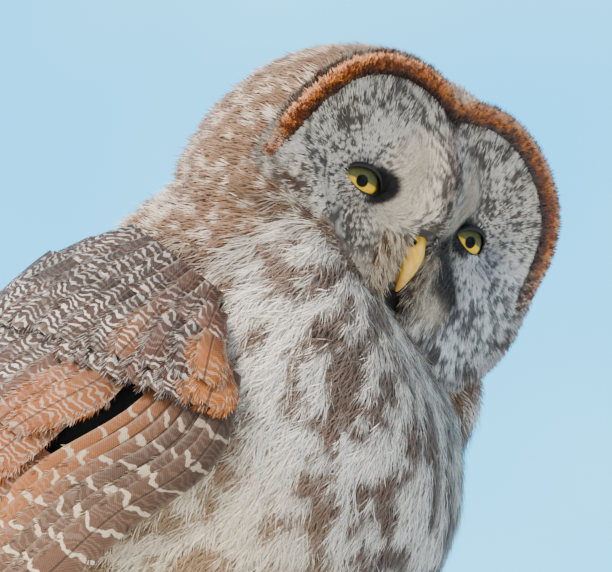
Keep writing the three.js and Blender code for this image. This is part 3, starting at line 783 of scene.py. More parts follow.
def vane_material():
    """Flat feathers: a shaft, slanting barbs, bars and fine wavy lines, each by the mesh's own amounts."""
    if "vanes" in bpy.data.materials:
        return bpy.data.materials["vanes"]
    finish = Finish("vanes", 0.62, 0.3)
    across, along, number = finish.attribute("vane_place").parts()
    bar_share, wave_share, edge = finish.attribute("vane_look").parts()
    own = combined(across, along, number * 97.0)
    out = across.through("ABSOLUTE")
    warp = own.stretched(0.12, 0.1, 1).noise(1.0, 3)
    bars = ((out * 0.35 + along) * 0.42 + warp * 6.0).wave().ramp((0.93, 0.0), (0.975, 1.0))
    maze = own.stretched(0.1, 0.08, 1).noise(1.0, 2)
    wander = own.stretched(0.4, 0.34, 1).noise(1.0, 1)
    waves = (maze * 30.0 + wander * 4.0 + along * 2.1).wave().ramp((0.6, 0.0), (0.82, 1.0))
    clear = own.stretched(0.06, 0.05, 1).noise(1.0, 1).ramp((0.4, 0.1), (0.5, 1.0))
    marked = (bars * bar_share).through("MAXIMUM", waves * clear * wave_share)
    plume, mark = finish.attribute("plume_colour", "Color"), finish.attribute("mark_colour", "Color")
    colour = blend(marked, plume, mark)
    barb = (along * 7.0 + out * 6.0 + warp * 5.0).through("SINE")
    streak = own.stretched(2.2, 0.5, 1).noise(1.0, 3)
    colour = blend(1.0, colour, barb * 0.09 + (streak * 0.8 + 0.6), "MULTIPLY")
    colour = blend(edge * 0.5, colour, rgba(tone("cream")))
    shaft = out.ramp((0.3, 1.0), (0.6, 0.0))
    colour = blend(shaft * 0.7, colour, rgba(linear(58, 38, 26)))
    finish.bump(barb * 0.3 + shaft * 2.0, 0.25 * MM, 0.6)
    return finish.done(colour, sheen_weight=0.1)


# The skin

_made = {}


def trunk_shell(depth):
    around = 96
    s = np.linspace(TRUNK_LOW, TRUNK_HIGH, 60)
    sizes = TRUNK_SIZES(s)
    sizes[:, 1] -= THROAT_CUT * ease(s, 150, 190)
    rings = [section_point(np.full(around, v), circle(around), np.tile(row, (around, 1)), -depth)
             for v, row in zip(s, sizes)]
    ends = (TRUNK_CENTRE + end * MM * AXIS_UP for end in (TRUNK_LOW - 2, TRUNK_HIGH + 2))
    first, last = ends
    return closed_skin(first, rings, last)


def collar_shell(radius):
    """A roll of the neck's plumage under the face, along the line where it closes over the disc."""
    def centre(t):
        x = mix(-84, 50, t)
        z = collar_z(x)
        return head_to_row(np.stack([x, face_y(x, z) + 3, z - radius], -1))

    return tube(centre, HEAD_AXES[:, 1], lambda t: (radius - 5 * (2 * t - 1) ** 8) * MM, 40, 24)


def neck_shell(radius):
    """The fold of the neck's plumage beside the cheek that the head turns away from."""
    def centre(t):
        a, b, c = np.array([62, 34, -12]), np.array([92, -8, -58]), np.array([58, 2, -112])
        return head_to_row(bent(a, b, c, t[..., None]))

    return tube(centre, HEAD_AXES[:, 1], lambda t: radius * MM * (1 - 0.5 * (2 * t - 1) ** 4), 30, 24)


def head_shell(depth):
    around = circle(120)
    x1, z1 = np.sin(around), np.cos(around)
    disc, whole = outline_at(x1, z1).T
    rings = []
    for q in np.linspace(0.04, 1, 30):
        x, z = q * (disc - depth) * x1, q * (disc - depth) * z1
        rings.append(np.stack([x, face_y(x, z) + 0.8 * depth, z], 1))
    rim = rim_y(x1, z1)
    for k in np.sin(np.linspace(0, 0.5 * math.pi, 22)[1:-1]):
        swell = mix(disc, whole, float(ease(k, 0, 0.22))) - depth
        close = math.sqrt(1 - max(0, (k - CLOSE_FROM) / (1 - CLOSE_FROM)) ** 2)
        rings.append(np.stack([swell * close * x1, mix(rim, HEAD_BACK_Y - depth, k), swell * close * z1], 1))
    first = [0, float(face_y(np.array(0.0), np.array(0.001))) + 0.8 * depth, 0]
    points, faces = closed_skin(first, rings, [0, HEAD_BACK_Y - depth, 0])
    return head_to_row(points), faces


# Height over the foot, and a leg's half width and half depth
LEG_SIZES = smooth_table([[-9, 14, 16], [0, 15, 17], [14, 17, 20], [36, 26, 29], [64, 34, 36]])


def leg_shell(side, depth):
    around = circle(40)
    foot = np.array([side * FOOT_APART, PERCH_Y / MM + 3, PERCH_TOP / MM + 15])
    rings = []
    for rise in np.linspace(-9, 66, 18):
        wide, deep = LEG_SIZES(np.array([rise]))[0] - depth
        drift = np.array([side * rise * 0.08, rise * 0.12, rise])
        ring = np.stack([wide * np.cos(around), deep * np.sin(around), 0 * around], 1)
        rings.append((foot + drift + ring) * MM)
    return closed_skin((foot + [0, 0, -10]) * MM, rings, (foot + [side * 5, 8, 67]) * MM)


def rounded_mesh(points, faces, grain, rounds):
    """The shells as one even, rounded mesh."""
    raw = new_object("skin_form", points, faces)
    remesh = raw.modifiers.new("even", "REMESH")
    remesh.mode = "VOXEL"
    remesh.voxel_size = grain
    rounded = raw.modifiers.new("rounded", "SMOOTH")
    rounded.factor = 0.5
    rounded.iterations = rounds
    mesh = bpy.data.meshes.new_from_object(raw.evaluated_get(bpy.context.evaluated_depsgraph_get()))
    bpy.data.objects.remove(raw)
    return mesh


def read_array(collection, key, width, kind=np.float32):
    values = np.empty(len(collection) * width, kind)
    collection.foreach_get(key, values)
    return values.reshape(-1, width)


def build_skin():
    """One skin over head, neck, trunk and legs, rounded where they meet."""
    depth = plumage().coat_depth / MM
    shells = [trunk_shell(depth), head_shell(0.55 * depth)]
    shells += [collar_shell(COLLAR_RADIUS), neck_shell(NECK_RADIUS)]
    shells += [leg_shell(side, 4) for side in SIDES.values()]
    mesh = rounded_mesh(*joined(shells), plumage().skin_grain, 5)
    mesh.name = "skin"
    skin = bpy.data.objects.new("skin", mesh)
    bpy.context.scene.collection.objects.link(skin)
    co = read_array(mesh.vertices, "co", 3).astype(float)
    normals = read_array(mesh.vertices, "normal", 3).astype(float)
    quads = read_array(mesh.loops, "vertex_index", 1, np.int32).reshape(-1, 4)
    # The skin at half the markings' brightness: painted shade deep under the coat
    put_attribute(mesh, "plume_colour", 0.5 * markings(co))
    mesh.polygons.foreach_set("use_smooth", np.ones(len(mesh.polygons), bool))
    mesh.materials.clear()
    mesh.materials.append(plumage_material())
    _made["skin"] = (co, unit(normals), quads)
    finished(skin, "body_feathers", "head", "neck", "torso", "leg_right", "leg_left")


# Roots, and how the coat lies

def skin_roots(spacing, rng):
    """Scattered roots on the skin, about that many metres apart, with the skin's normals."""
    co, normals, quads = _made["skin"]
    corners = co[quads]
    diagonals = np.cross(corners[:, 2] - corners[:, 0], corners[:, 3] - corners[:, 1])
    area = np.linalg.norm(diagonals, axis=1) / 2
    count = np.floor(area / spacing**2 + rng.random(len(quads))).astype(int)
    pick = np.repeat(np.arange(len(quads)), count)
    u, v = rng.random(len(pick)), rng.random(len(pick))
    weights = np.stack([(1 - u) * (1 - v), u * (1 - v), u * v, (1 - u) * v], 1)[..., None]
    return (corners[pick] * weights).sum(1), unit((normals[quads[pick]] * weights).sum(1))


def laid_on(direction, up):
    """A direction laid onto the skin."""
    return unit(direction - up * (direction * up).sum(1)[:, None])


def body_lie(points, up):
    """How the coat lies on trunk and nape: down the body, and away from the head near it."""
    near = 1 - ease(head_share(row_to_head(points)), 1.05, 1.7)
    swirl = lattice_noise(points, 40 * MM, 71) - 0.5
    direction = tint(-AXIS_UP + 0 * points, unit(points - HEAD_CENTRE), 0.55 * near)
    direction = direction + 0.3 * swirl[:, None] * np.cross(up, AXIS_UP)
    return laid_on(direction, up)


def crown_lie(points, up):
    """How the coat lies on the head behind the disc: away from the face and down the nape."""
    h = row_to_head(points)
    radial = unit(np.stack([h[:, 0], 0 * h[:, 0], h[:, 2]], 1))
    back = ease(h[:, 1], RIM_Y, RIM_Y + 45)[:, None]
    direction = (radial * (1 - back) + np.array([0, 1.0, 0]) * (0.3 + back)) @ HEAD_AXES.T
    return laid_on(tint(direction, -AXIS_UP + 0 * points, 0.7 * ease(h[:, 1], 30, 75)), up)


def face_lie(x, z):
    """How the disc's feathers lie, in the head's x and z: away from each eye, and up along the brows."""
    side = np.where(x < 0, -1.0, 1.0)
    ex = np.abs(x) - EYE_APART
    r = np.maximum(1e-6, np.hypot(ex, z))
    brow = np.clip(1.1 * bell(np.abs(x) - 10, 12) * ease(z, -20, 2), 0, 1)
    beard = np.clip(bell(np.abs(x) - 6, 12) * ease(-z, 8, 26), 0, 1)
    out = ex / r * (1 - brow) + 0.12 * brow
    up = z / r * (1 - brow) + brow
    return side * (out * (1 - beard) + 0.45 * beard), up * (1 - beard) - beard


def trunk_bake(points):
    s, angle = trunk_place(points)
    return np.stack([angle / (2 * math.pi) + 0.5, np.clip((s + 190) / 420, 0.002, 0.998)], 1)


def head_bake(points):
    """Where a point of the head lies on the head's unwrap round the middle of the face."""
    h = row_to_head(points)
    behind = np.maximum(0, h[:, 1] - RIM_Y)
    q = 0.3 * np.minimum(1.1, disc_share(h[:, 0], h[:, 2])) + 0.16 * behind / 100
    around = np.arctan2(h[:, 0], h[:, 2])
    return np.stack([0.5 + q * np.sin(around), 0.5 + q * np.cos(around)], 1)


def under_wing(points, margin=7):
    """Whether a point of the trunk is covered by a folded wing."""
    s, angle = trunk_place(points)
    edges = WING_EDGES(s)
    turned = np.abs(np.degrees(angle))
    inside = (turned > edges[:, 0] + margin) & (turned < mix(edges[:, 0], edges[:, 1], BED_FRONT) - margin)
    return inside & (s < WING_TOP - 2 * margin) & (s > WING_LOW)


# Tufts: fans of thin blades, three triangles each

# Places along a blade, its corners at them, and the size of a blade's patch on the map
STATIONS = np.array([0.0, 0.5, 1.0])
STATION_OF_VERTEX = np.array([0, 0, 1, 1, 2])
BLADE_ACROSS = np.array([-0.5, 0.5, -0.5, 0.5, 0])
PATCH = 0.003


def blade_vertices(root, way, up, length, width, lift, droop):
    """Blades on roots, along way and lifted from the skin, drooping back towards it."""
    side = unit(np.cross(way, up))
    start = way * np.cos(lift)[:, None] + up * np.sin(lift)[:, None]
    rows, centres = [], []
    for t, share in zip(STATIONS, (0.75, 1.0, 0.0)):
        centre = root + start * (length * t)[:, None] - up * (length * droop * t * t)[:, None]
        half = side * (0.5 * width * share)[:, None]
        rows += [centre - half, centre + half] if share else [centre]
        centres.append(centre)
    return np.stack(rows, 1).reshape(-1, 3), np.stack(centres, 1)


def tufts(name, root, up, way, look, paint, bake, rng):
    """One coat piece: a fan of blades on each root. In look, length, width and base are in millimetres, and
    spread, lift and its ruffle in radians. smear is how far the markings print along a blade, and shades
    darken its root as painted shadow deep in the coat and darken or lighten its middle and tip. paint gives
    the markings, bake their places on the map."""
    blades = look["blades"]
    keep = np.repeat(np.arange(len(root)), blades)
    total = len(keep)
    fan = np.tile(np.linspace(-1, 1, blades) if blades > 1 else [0.0], len(root)) + rng.normal(0, 0.35, total)
    side = unit(np.cross(up, way))
    turn = (fan * look["spread"])[:, None]
    direction = unit(way[keep] * np.cos(turn) + side[keep] * np.sin(turn))
    length = np.broadcast_to(look["length"], len(root))[keep] * MM * rng.uniform(0.72, 1.12, total)
    length = length * (1 - 0.12 * np.minimum(fan * fan, 1.5))
    width = np.broadcast_to(look["width"], len(root))[keep] * MM * rng.uniform(0.7, 1.25, total)
    lift = np.broadcast_to(look["lift"], len(root))[keep] + rng.normal(0, look["ruffle"], total)
    start = root[keep] + side[keep] * (fan * look["base"] * MM)[:, None]
    start = start + rng.normal(0, 0.2 * look["base"] * MM, (total, 3))
    droop = np.full(total, look["droop"])
    vertices, centres = blade_vertices(start, direction, up[keep], length, width, lift, droop)
    printed = root[keep][:, None, :] + look["smear"] * (centres - root[keep][:, None, :])
    painted = paint(printed.reshape(-1, 3)).reshape(total, 3, 3)
    vary = rng.uniform(0.9, 1.1, (total, 1, 1)) * rng.uniform(0.94, 1.06, len(root))[keep][:, None, None]
    # shades darken each blade's root: painted shadow deep in the coat
    painted = painted * np.array(look["shades"])[None, :, None] * vary
    if "tone" in look:
        painted = painted * look["tone"][keep][:, None, None]
    base = np.arange(total)[:, None, None] * 5
    faces = (base + np.array([[0, 1, 3], [0, 3, 2], [2, 3, 4]])).reshape(-1, 3)
    offset = PATCH * np.stack([BLADE_ACROSS, STATIONS[STATION_OF_VERTEX] - 0.5], 1)
    uv = np.clip(bake(root)[keep][:, None, :] + offset, 0.001, 0.999).reshape(-1, 2)
    colours = painted[:, STATION_OF_VERTEX, :].reshape(-1, 3)
    obj = new_object(name, vertices, faces, [plumage_material()], {"plume_colour": colours}, uv)
    normals = unit(up[keep] + 0.25 * side[keep] * fan[:, None] + rng.normal(0, 0.15, (total, 3)))
    obj.data.normals_split_custom_set_from_vertices(np.repeat(normals, 5, axis=0))
    finished(obj, look["slot"])


def face_normals(x, z):
    """The face's outward normals and its slopes across and up."""
    step = 0.5
    slope_x = (face_y(x + step, z) - face_y(x - step, z)) / (2 * step)
    slope_z = (face_y(x, z + step) - face_y(x, z - step)) / (2 * step)
    return unit(np.stack([slope_x, -np.ones_like(x), slope_z], 1)), slope_x, slope_z


def head_tufts(name, root, up, way, look, paint, rng):
    """A coat piece of the head, its roots and directions in the head's frame."""
    tufts(name, head_to_row(root), up @ HEAD_AXES.T, way @ HEAD_AXES.T, look, paint, head_bake, rng)


def face_roots(side, rng):
    """Roots of half the facial disc: their x and z, clear of the eye's opening and the bill."""
    hairs = plumage().face_hairs
    x, z = side * rng.uniform(0, 90, hairs * 2), rng.uniform(-72, 60, hairs * 2)
    opening = ((np.abs(x) - EYE_APART) / EYE_OPENING[0]) ** 2 + ((z - 1.6) / EYE_OPENING[1]) ** 2
    bill = (np.abs(x) < 8.5) & (z < -9) & (z > -45)
    free = (disc_share(x, z) < 0.985) & (opening > 1) & ~bill & (z > collar_z(x) - 4)
    keep = np.flatnonzero(free)[:hairs]
    return x[keep], z[keep]


def build_face():
    """The facial disc's fine feathers, one piece for each side."""
    for share, (name, side) in enumerate(SIDES.items()):
        rng = random_draws(10 + share)
        x, z = face_roots(side, rng)
        up, slope_x, slope_z = face_normals(x, z)
        out, rise = face_lie(x, z)
        way = laid_on(np.stack([out, slope_x * out + slope_z * rise, rise], 1), up)
        r = np.hypot(np.abs(x) - EYE_APART, z)
        lip = 4.6 * (1 - ease(z - collar_z(x), 10, 28))
        over_lid = EYE_Y - np.sqrt(np.maximum(0, (EYE_RADIUS + 0.6) ** 2 - r * r))
        root = np.stack([x, np.minimum(face_y(x, z) + 1.2 - lip, over_lid), z], 1)
        brow = bell(np.abs(x) - 17, 8) * ease(z, -20, -4) * (1 - ease(z, 22, 36))
        beard = bell(x, 12) * bell(z + 20, 14)
        near_rim = ease(disc_share(x, z), 0.75, 1)
        look = {
            "blades": 1, "spread": 0.12, "base": 0.5, "slot": "face_feathers", "smear": 0.95,
            "length": 3.0 + 3.4 * ease(r, 12, 46) + 3 * brow + 3 * beard,
            "width": 0.42 + 0.12 * ease(r, 14, 50), "lift": 0.2 + 0.14 * near_rim + 0.15 * brow,
            "ruffle": 0.1, "droop": 0.1, "shades": (0.55, 0.9, 1.1),
        }
        head_tufts(f"face_{name}", root, up, way, look, face_colour, rng)


def build_ruff():
    """The stiff rusty ruff round the facial disc."""
    rng = random_draws(20)
    around = rng.uniform(-math.pi, math.pi, RUFF_COUNT)
    x1, z1 = np.sin(around), np.cos(around)
    beside = 1 - ease(z1, -0.45, 0.1)
    inward = rng.uniform(0, 1, RUFF_COUNT) * RUFF_WIDE * (1 - 0.55 * beside)
    radius = outline_at(x1, z1)[:, 0] - 1.3 - inward
    x, z = radius * x1, radius * z1
    keep = z > collar_z(x) + 1
    x, z, x1, z1, beside = x[keep], z[keep], x1[keep], z1[keep], beside[keep]
    count = len(x)
    root = np.stack([x, face_y(x, z) - 0.6 - 2.6 * ease(-x, 36, 74), z], 1)
    up = unit(np.stack([0.6 * x1, -np.ones(count), 0.6 * z1], 1))
    way = laid_on(np.stack([x1, 0 * x1, z1], 1) + rng.normal(0, 0.4, (count, 3)), up)
    look = {
        "blades": 1, "spread": 0.2, "base": 0.6, "slot": "face_feathers", "smear": 0.4,
        "length": 4.4 - 1.2 * beside, "width": 0.7, "lift": 0.9, "ruffle": 0.25, "droop": 0.1,
        "shades": (0.4, 1.0, 1.4),
    }
    head_tufts("ruff", root, up, way, look, ruff_colour, rng)


def build_crown():
    """The soft coat of crown, nape and cheeks behind the disc."""
    rng = random_draws(30)
    root, up = skin_roots(plumage().crown_spacing, rng)
    h = row_to_head(root)
    keep = ~on_face(h) & (head_share(h) < 1.12 + 0.1 * rng.random(len(h)))
    root, up, h = root[keep], up[keep], h[keep]
    look = {
        "blades": 5, "spread": 0.3, "base": 1.1, "slot": "face_feathers", "smear": 0.35,
        "length": 9 + 6 * ease(h[:, 1], -10, 50), "width": 0.55, "lift": 0.34, "ruffle": 0.16,
        "droop": 0.16, "shades": (0.5, 0.9, 1.12),
    }
    tufts("crown", root, up, crown_lie(root, up), look, crown_colour, head_bake, rng)


def on_leg(points, wide, high):
    """Whether a point is on a feathered leg."""
    apart = np.abs(np.abs(points[:, 0]) / MM - FOOT_APART - 3)
    over_perch = np.abs(points[:, 1] - PERCH_Y) < 46 * MM
    return (points[:, 2] < PERCH_TOP + high * MM) & (apart < wide) & over_perch


def build_body():
    """The body's coat in three pieces: breast, belly and back."""
    rng = random_draws(40)
    root, up = skin_roots(plumage().body_spacing, rng)
    s, angle = trunk_place(root)
    h = row_to_head(root)
    trunk = ~on_face(h) & (head_share(h) > 1.1) & ~under_wing(root) & ~on_leg(root, 36, 75)
    front = np.abs(np.degrees(angle)) > 88
    regions = {
        "coat_breast": (trunk & front & (s > 30), 1.0, 12),
        "coat_belly": (trunk & front & (s <= 30), 1.15, 11),
        "coat_back": (trunk & ~front, 1.0, 8),
    }
    for name, (inside, stretch, blades) in regions.items():
        r, u = root[inside], up[inside]
        look = {
            "blades": blades, "spread": 0.5, "base": 3.0, "slot": "body_feathers", "smear": 0.45,
            "length": stretch * (12 + 5 * lattice_noise(r, 30 * MM, 91)), "width": 0.48, "lift": 0.26,
            "ruffle": 0.1, "droop": 0.22, "shades": (0.7, 0.95, 1.08),
        }
        tufts(name, r, u, body_lie(r, u), look, trunk_colour, trunk_bake, rng)


# Vanes: flat feathers laid in tiers

def vane_width(t, blunt):
    """A vane's half width along its length, 1 at its widest."""
    return mix(0.55, 1, ease(t, 0, 0.45)) * np.sqrt(np.maximum(0.0, 1 - (t / 1.004) ** blunt))


def vane_grid(rows, columns):
    """Places along a vane from root to tip, and across it from -1 to 1."""
    return np.linspace(0, 1, rows)[None, :, None], np.linspace(-1, 1, columns)[None, None, :]


def vane_piece(name, points, sizes, looks, slot, replaced=()):
    """A joined mesh of vanes, from points of shape (vanes, along, across, 3). sizes gives their length and
    half width in millimetres, looks their colour, mark colour and amounts of bars, waves and pale edge."""
    count, rows, columns = points.shape[:3]
    quads = grid_faces(rows, columns)
    faces = (np.arange(count)[:, None, None] * rows * columns + quads).reshape(-1, 4)
    t, c = (places + np.zeros((count, rows, columns)) for places in vane_grid(rows, columns))

    def spread(amount):
        return np.broadcast_to(amount, count)[:, None, None]

    length, half = map(spread, sizes)
    number = np.arange(count)[:, None, None] / count + 0 * t
    wide = vane_width(t, looks["blunt"]) * half
    place = np.stack([c * wide, t * length, number], -1)
    edge = np.clip(ease(np.abs(c), 0.75, 1) + ease(t, 0.88, 1), 0, 1)
    amounts = [spread(looks[key]) + 0 * t for key in ("bars", "waves")]
    amounts.append(edge * spread(looks["pale_edge"]))
    # Darker towards each vane's root: painted shadow where the vanes overlap
    shade = (0.45 + 0.55 * ease(t, 0.1, 0.55))[..., None]
    attributes = {
        "vane_place": place.reshape(-1, 3),
        "vane_look": np.stack(amounts, -1).reshape(-1, 3),
        "plume_colour": (looks["colour"][:, None, None, :] * shade).reshape(-1, 3),
        "mark_colour": (looks["mark"][:, None, None, :] * shade).reshape(-1, 3),
    }
    across_cells = math.ceil(math.sqrt(count))
    cell = np.arange(count)
    corner = np.stack([cell % across_cells, cell // across_cells], -1)[:, None, None, :] / across_cells
    uv = corner + np.stack([0.5 + 0.45 * c, 0.05 + 0.9 * t], -1) / across_cells
    obj = new_object(name, points.reshape(-1, 3), faces, [vane_material()], attributes, uv.reshape(-1, 2))
    finished(obj, slot, *replaced)


def vane_barbs(name, points, each, looks, slot, rng):
    """Fine barbs along the edges and tips of a tier of vanes, in each vane's own colours, darker near the
    roots as painted shadow.
    """
    count, rows, columns = points.shape[:3]
    vane = np.repeat(np.arange(count), each)
    t = rng.uniform(0.1, 0.999, len(vane)) ** 0.7 * (rows - 1)
    middle = rng.choice([-1.0, 1.0], len(vane)) * rng.uniform(0.25, 0.999, len(vane)) ** 0.35
    c = (0.5 + 0.4999 * middle) * (columns - 1)
    i, j = t.astype(int), c.astype(int)
    corner = points[vane, i, j]
    along, across = points[vane, i + 1, j] - corner, points[vane, i, j + 1] - corner
    root = corner + along * (t - i)[:, None] + across * (c - j)[:, None]
    up = unit(np.cross(along, across))
    outside = root - TRUNK_CENTRE
    outside = outside - (outside @ AXIS_UP)[:, None] * AXIS_UP
    up = np.where(((up * outside).sum(1) < 0)[:, None], -up, up)
    slant = 1.6 * c / (columns - 1) - 0.8
    shade = rng.uniform(0.8, 1.1, count)
    own = tint(looks["colour"][vane], looks["mark"][vane], 0.45 * ease(rng.random(len(vane)), 0.5, 0.8))
    way = laid_on(unit(along) + unit(across) * slant[:, None], up)
    # tone darkens the barbs towards each vane's root: painted shadow where the vanes overlap
    look = {
        "blades": 2, "spread": 0.12, "base": 0.4, "slot": slot, "smear": 0.9, "length": 3.8, "width": 0.45,
        "lift": 0.08, "ruffle": 0.06, "droop": 0.06, "shades": (0.85, 0.95, 1.1),
        "tone": shade[vane] * (0.35 + 0.65 * ease(t / (rows - 1), 0.1, 0.6)),
    }

    def paint(places):
        return np.repeat(own, len(places) // len(own), axis=0)

    tufts(name, root, up, way, look, paint, trunk_bake, rng)


def tier_place(side, tier, f, t, c):
    """Where a tier's vanes lie on the folded wing: f is each one's place from front to back, t along it."""
    f = f[:, None, None]
    toward_back = np.sin(f * 0.5 * math.pi) if tier.name == "primaries" else f
    root, tip = mix(*tier.roots, f), mix(*tier.tips, toward_back)
    s = mix(root, tip, t)
    edges = WING_EDGES(s)
    share = mix(*tier.across, f) * (1 - t) + mix(*tier.to_tip, f) * t
    sizes = WING_SIZES(s)
    turn = c * tier.half_width * vane_width(t, tier.blunt) / sizes[..., 0]
    angle = np.radians(mix(edges[..., 0], edges[..., 1], share)) + turn
    camber = 1.6 * (1 - c * c) * (1 - 0.5 * t)
    rise = mix(*tier.rise, t) - 1.7 * c + camber
    return section_point(s, side * angle, sizes, rise)


# A tier's vanes from front to back: where roots and tips lie along the trunk, in millimetres, and across the
# wing, then half width, height at root and tip, and how blunt the tips are
Tier = namedtuple("Tier", "name count roots tips across to_tip half_width rise blunt")

FLIGHT_TIERS = [
    Tier("primaries", 9, (10, -40), (-215, -340), (0.98, 0.3), (0.95, 0.35), 15, (1.5, 3.5), 7),
    Tier("secondaries", 12, (-30, 10), (-165, -235), (0.84, 0.12), (0.84, 0.1), 14, (2, 6.5), 8),
    Tier("fold", 6, (118, 104), (-96, -154), (1.0, 0.83), (0.97, 0.81), 8.5, (3.5, 9), 8),
]

COVERT_TIERS = [
    Tier("greater", 13, (14, 36), (-76, -104), (0.77, 0.12), (0.75, 0.1), 12, (5, 11), 6),
    Tier("median", 13, (44, 52), (-34, -56), (0.76, 0.1), (0.75, 0.08), 11.5, (6, 12.5), 5),
    Tier("lesser", 14, (64, 70), (2, -14), (0.72, 0.1), (0.71, 0.08), 11, (7, 13), 4.5),
    Tier("small", 13, (92, 90), (40, 22), (0.72, 0.1), (0.7, 0.08), 10.5, (7, 12.5), 4),
    Tier("bend", 9, (118, 110), (99, 76), (0.96, 0.58), (0.95, 0.6), 10, (7, 11), 3.5),
    Tier("shoulder", 13, (124, 108), (106, 52), (0.92, 0.1), (0.93, 0.08), 9, (7, 12.5), 4),
    Tier("edge", 10, (134, 124), (112, 80), (0.88, 0.14), (0.9, 0.1), 9, (2, 9), 4),
    Tier("top", 8, (140, 140), (104, 102), (0.8, 0.2), (0.86, 0.14), 9, (-1, 6), 4),
]


def tier_points(side, tier, rng, rows, columns):
    """The vanes' places from front to back, their points and their lengths."""
    f = np.clip(np.linspace(0, 1, tier.count) + rng.normal(0, 0.12 / tier.count, tier.count), 0, 1)
    t, c = vane_grid(rows, columns)
    t = t * rng.uniform(0.95, 1.0, tier.count)[:, None, None]
    points = tier_place(side, tier, f, t, c + 0 * t)
    return f, points, np.abs(mix(*tier.roots, f) - mix(*tier.tips, f))


def wing_bed(side):
    """The wing's own surface under its feathers."""
    rows, columns = 60, 30
    s = np.linspace(WING_TOP, WING_LOW, rows)[:, None] + np.zeros((rows, columns))
    edges = WING_EDGES(s)
    share = np.linspace(0, BED_FRONT, columns)[None, :]
    angle = np.radians(mix(edges[..., 0], edges[..., 1], share))
    thick = np.minimum(1, 5 * np.minimum(share, BED_FRONT - share)) + 0 * s
    points = section_point(s, side * angle, WING_SIZES(s), 4.0 * thick - 3)
    return points.reshape(-1, 3), grid_faces(rows, columns)


def flight_look(tier, f, points, rng):
    count = len(f)
    shades = rng.random(count)
    if tier.name == "primaries":
        base = tint(tone("rust"), tone("dark"), 0.35 + 0.25 * shades)
        mark = tint(tone("orange"), tone("cream"), 0.35 * shades + 0.1)
    else:
        back = np.linspace(0, 1, count) * (tier.name == "fold")
        brown = tint(tone("brown"), tone("dark"), 0.7 * shades)
        base = tint(brown, tone("orange"), 0.7 * ease(back, 0.4, 1))
        mark = tint(tone("cream"), tone("tan"), 0.3 * shades)
    return {"colour": base, "mark": mark, "bars": 0.8, "waves": 0.08, "pale_edge": 0.15, "blunt": tier.blunt}


def covert_look(tier, f, points, rng):
    count = len(f)
    middle = points[:, points.shape[1] // 2, points.shape[2] // 2]
    forward = 0.55 * (0.5 - f) * (tier.name != "greater")
    warm = ease(layered_noise(middle, 38 * MM, 101, 2) + forward, 0.5, 0.72) * rng.uniform(0.6, 1, count)
    brown = 0.36 * tint(tone("dark"), tone("rust"), 0.15 + 0.3 * rng.random(count))
    base = tint(brown, 0.7 * tone("orange"), warm)
    base = tint(base, tone("rust"), 0.6 * warm * rng.random(count))
    mark = tint(0.56 * tone("white"), 0.7 * tone("cream"), warm)
    return {"colour": base, "mark": mark, "bars": 0.1 * rng.random(count), "waves": 0.95 - 0.8 * warm,
            "pale_edge": 0.1 + 0.25 * rng.random(count), "blunt": tier.blunt}


def build_bed(name, side):
    """The wing's surface under its feathers, black as painted shadow in the gaps between them, and in the
    body's own colours, dimmed as painted shade, at the shoulder.
    """
    points, faces = wing_bed(side)
    top = ease(trunk_place(points)[0], 104, 122)
    # Black under the feathers and dimmed body colours at the shoulder: painted shadow between the feathers
    shade = tint(0.4 * tone("black"), 0.6 * trunk_colour(points), top)
    bed = new_object(f"wing_bed_{name}", points, faces, [plumage_material()], {"plume_colour": shade})
    finished(bed, "wing_feathers", f"wing_{name}")


def build_wings():
    """Both folded wings: the bed, flight feathers and coverts in tiers, and the barbs at their edges."""
    kinds = ((FLIGHT_TIERS, "", 30, 170, flight_look), (COVERT_TIERS, "coverts_", 16, 180, covert_look))
    for share, (name, side) in enumerate(SIDES.items()):
        rng = random_draws(50 + share)
        build_bed(name, side)
        for tiers, prefix, rows, barbs, look_of in kinds:
            for tier in tiers:
                f, points, length = tier_points(side, tier, rng, rows, 9)
                look = look_of(tier, f, points, rng)
                sizes = (length, tier.half_width)
                vane_piece(f"{prefix}{tier.name}_{name}", points, sizes, look, "wing_feathers")
                vane_barbs(f"barbs_{tier.name}_{name}", points, barbs, look, "wing_feathers", rng)


def trunk_vanes(s0, angle0, length, half, turn, rise, blunt):
    """Vanes on the trunk's surface, each from its own place, down the body."""
    t, c = vane_grid(14, 7)
    s0, angle0, length, half, turn = (v[:, None, None] for v in (s0, angle0, length, half, turn))
    wide = c * half * vane_width(t, blunt)
    s = s0 - length * t * np.cos(turn) + wide * np.sin(turn)
    sizes = TRUNK_SIZES(s)
    around = (length * t * np.sin(turn) + wide * np.cos(turn)) / sizes[..., 0]
    off = mix(*rise, t) + 1.4 * (1 - c * c) - 1.2 * c * t
    return section_point(s, angle0 + around, sizes, off)


def mantle_places(rng):
    """Places in rows across the back: how far along the trunk, and the angle. Every other row is shifted."""
    rows = []
    for k, s in enumerate(np.arange(-120, 92, MANTLE_STEP)):
        reach = math.radians(float(np.interp(s, [-120, -60, 60, 92], [16, 24, 40, 44])))
        count = int(2 * reach * 95 / MANTLE_STEP) + 2
        angles = np.linspace(-reach, reach, count) + (k % 2) * reach / count
        rows.append(np.stack([np.full(count, s), angles], 1))
    places = np.vstack(rows)
    return places + rng.normal(0, 1, places.shape) * np.array([2.0, 0.02])


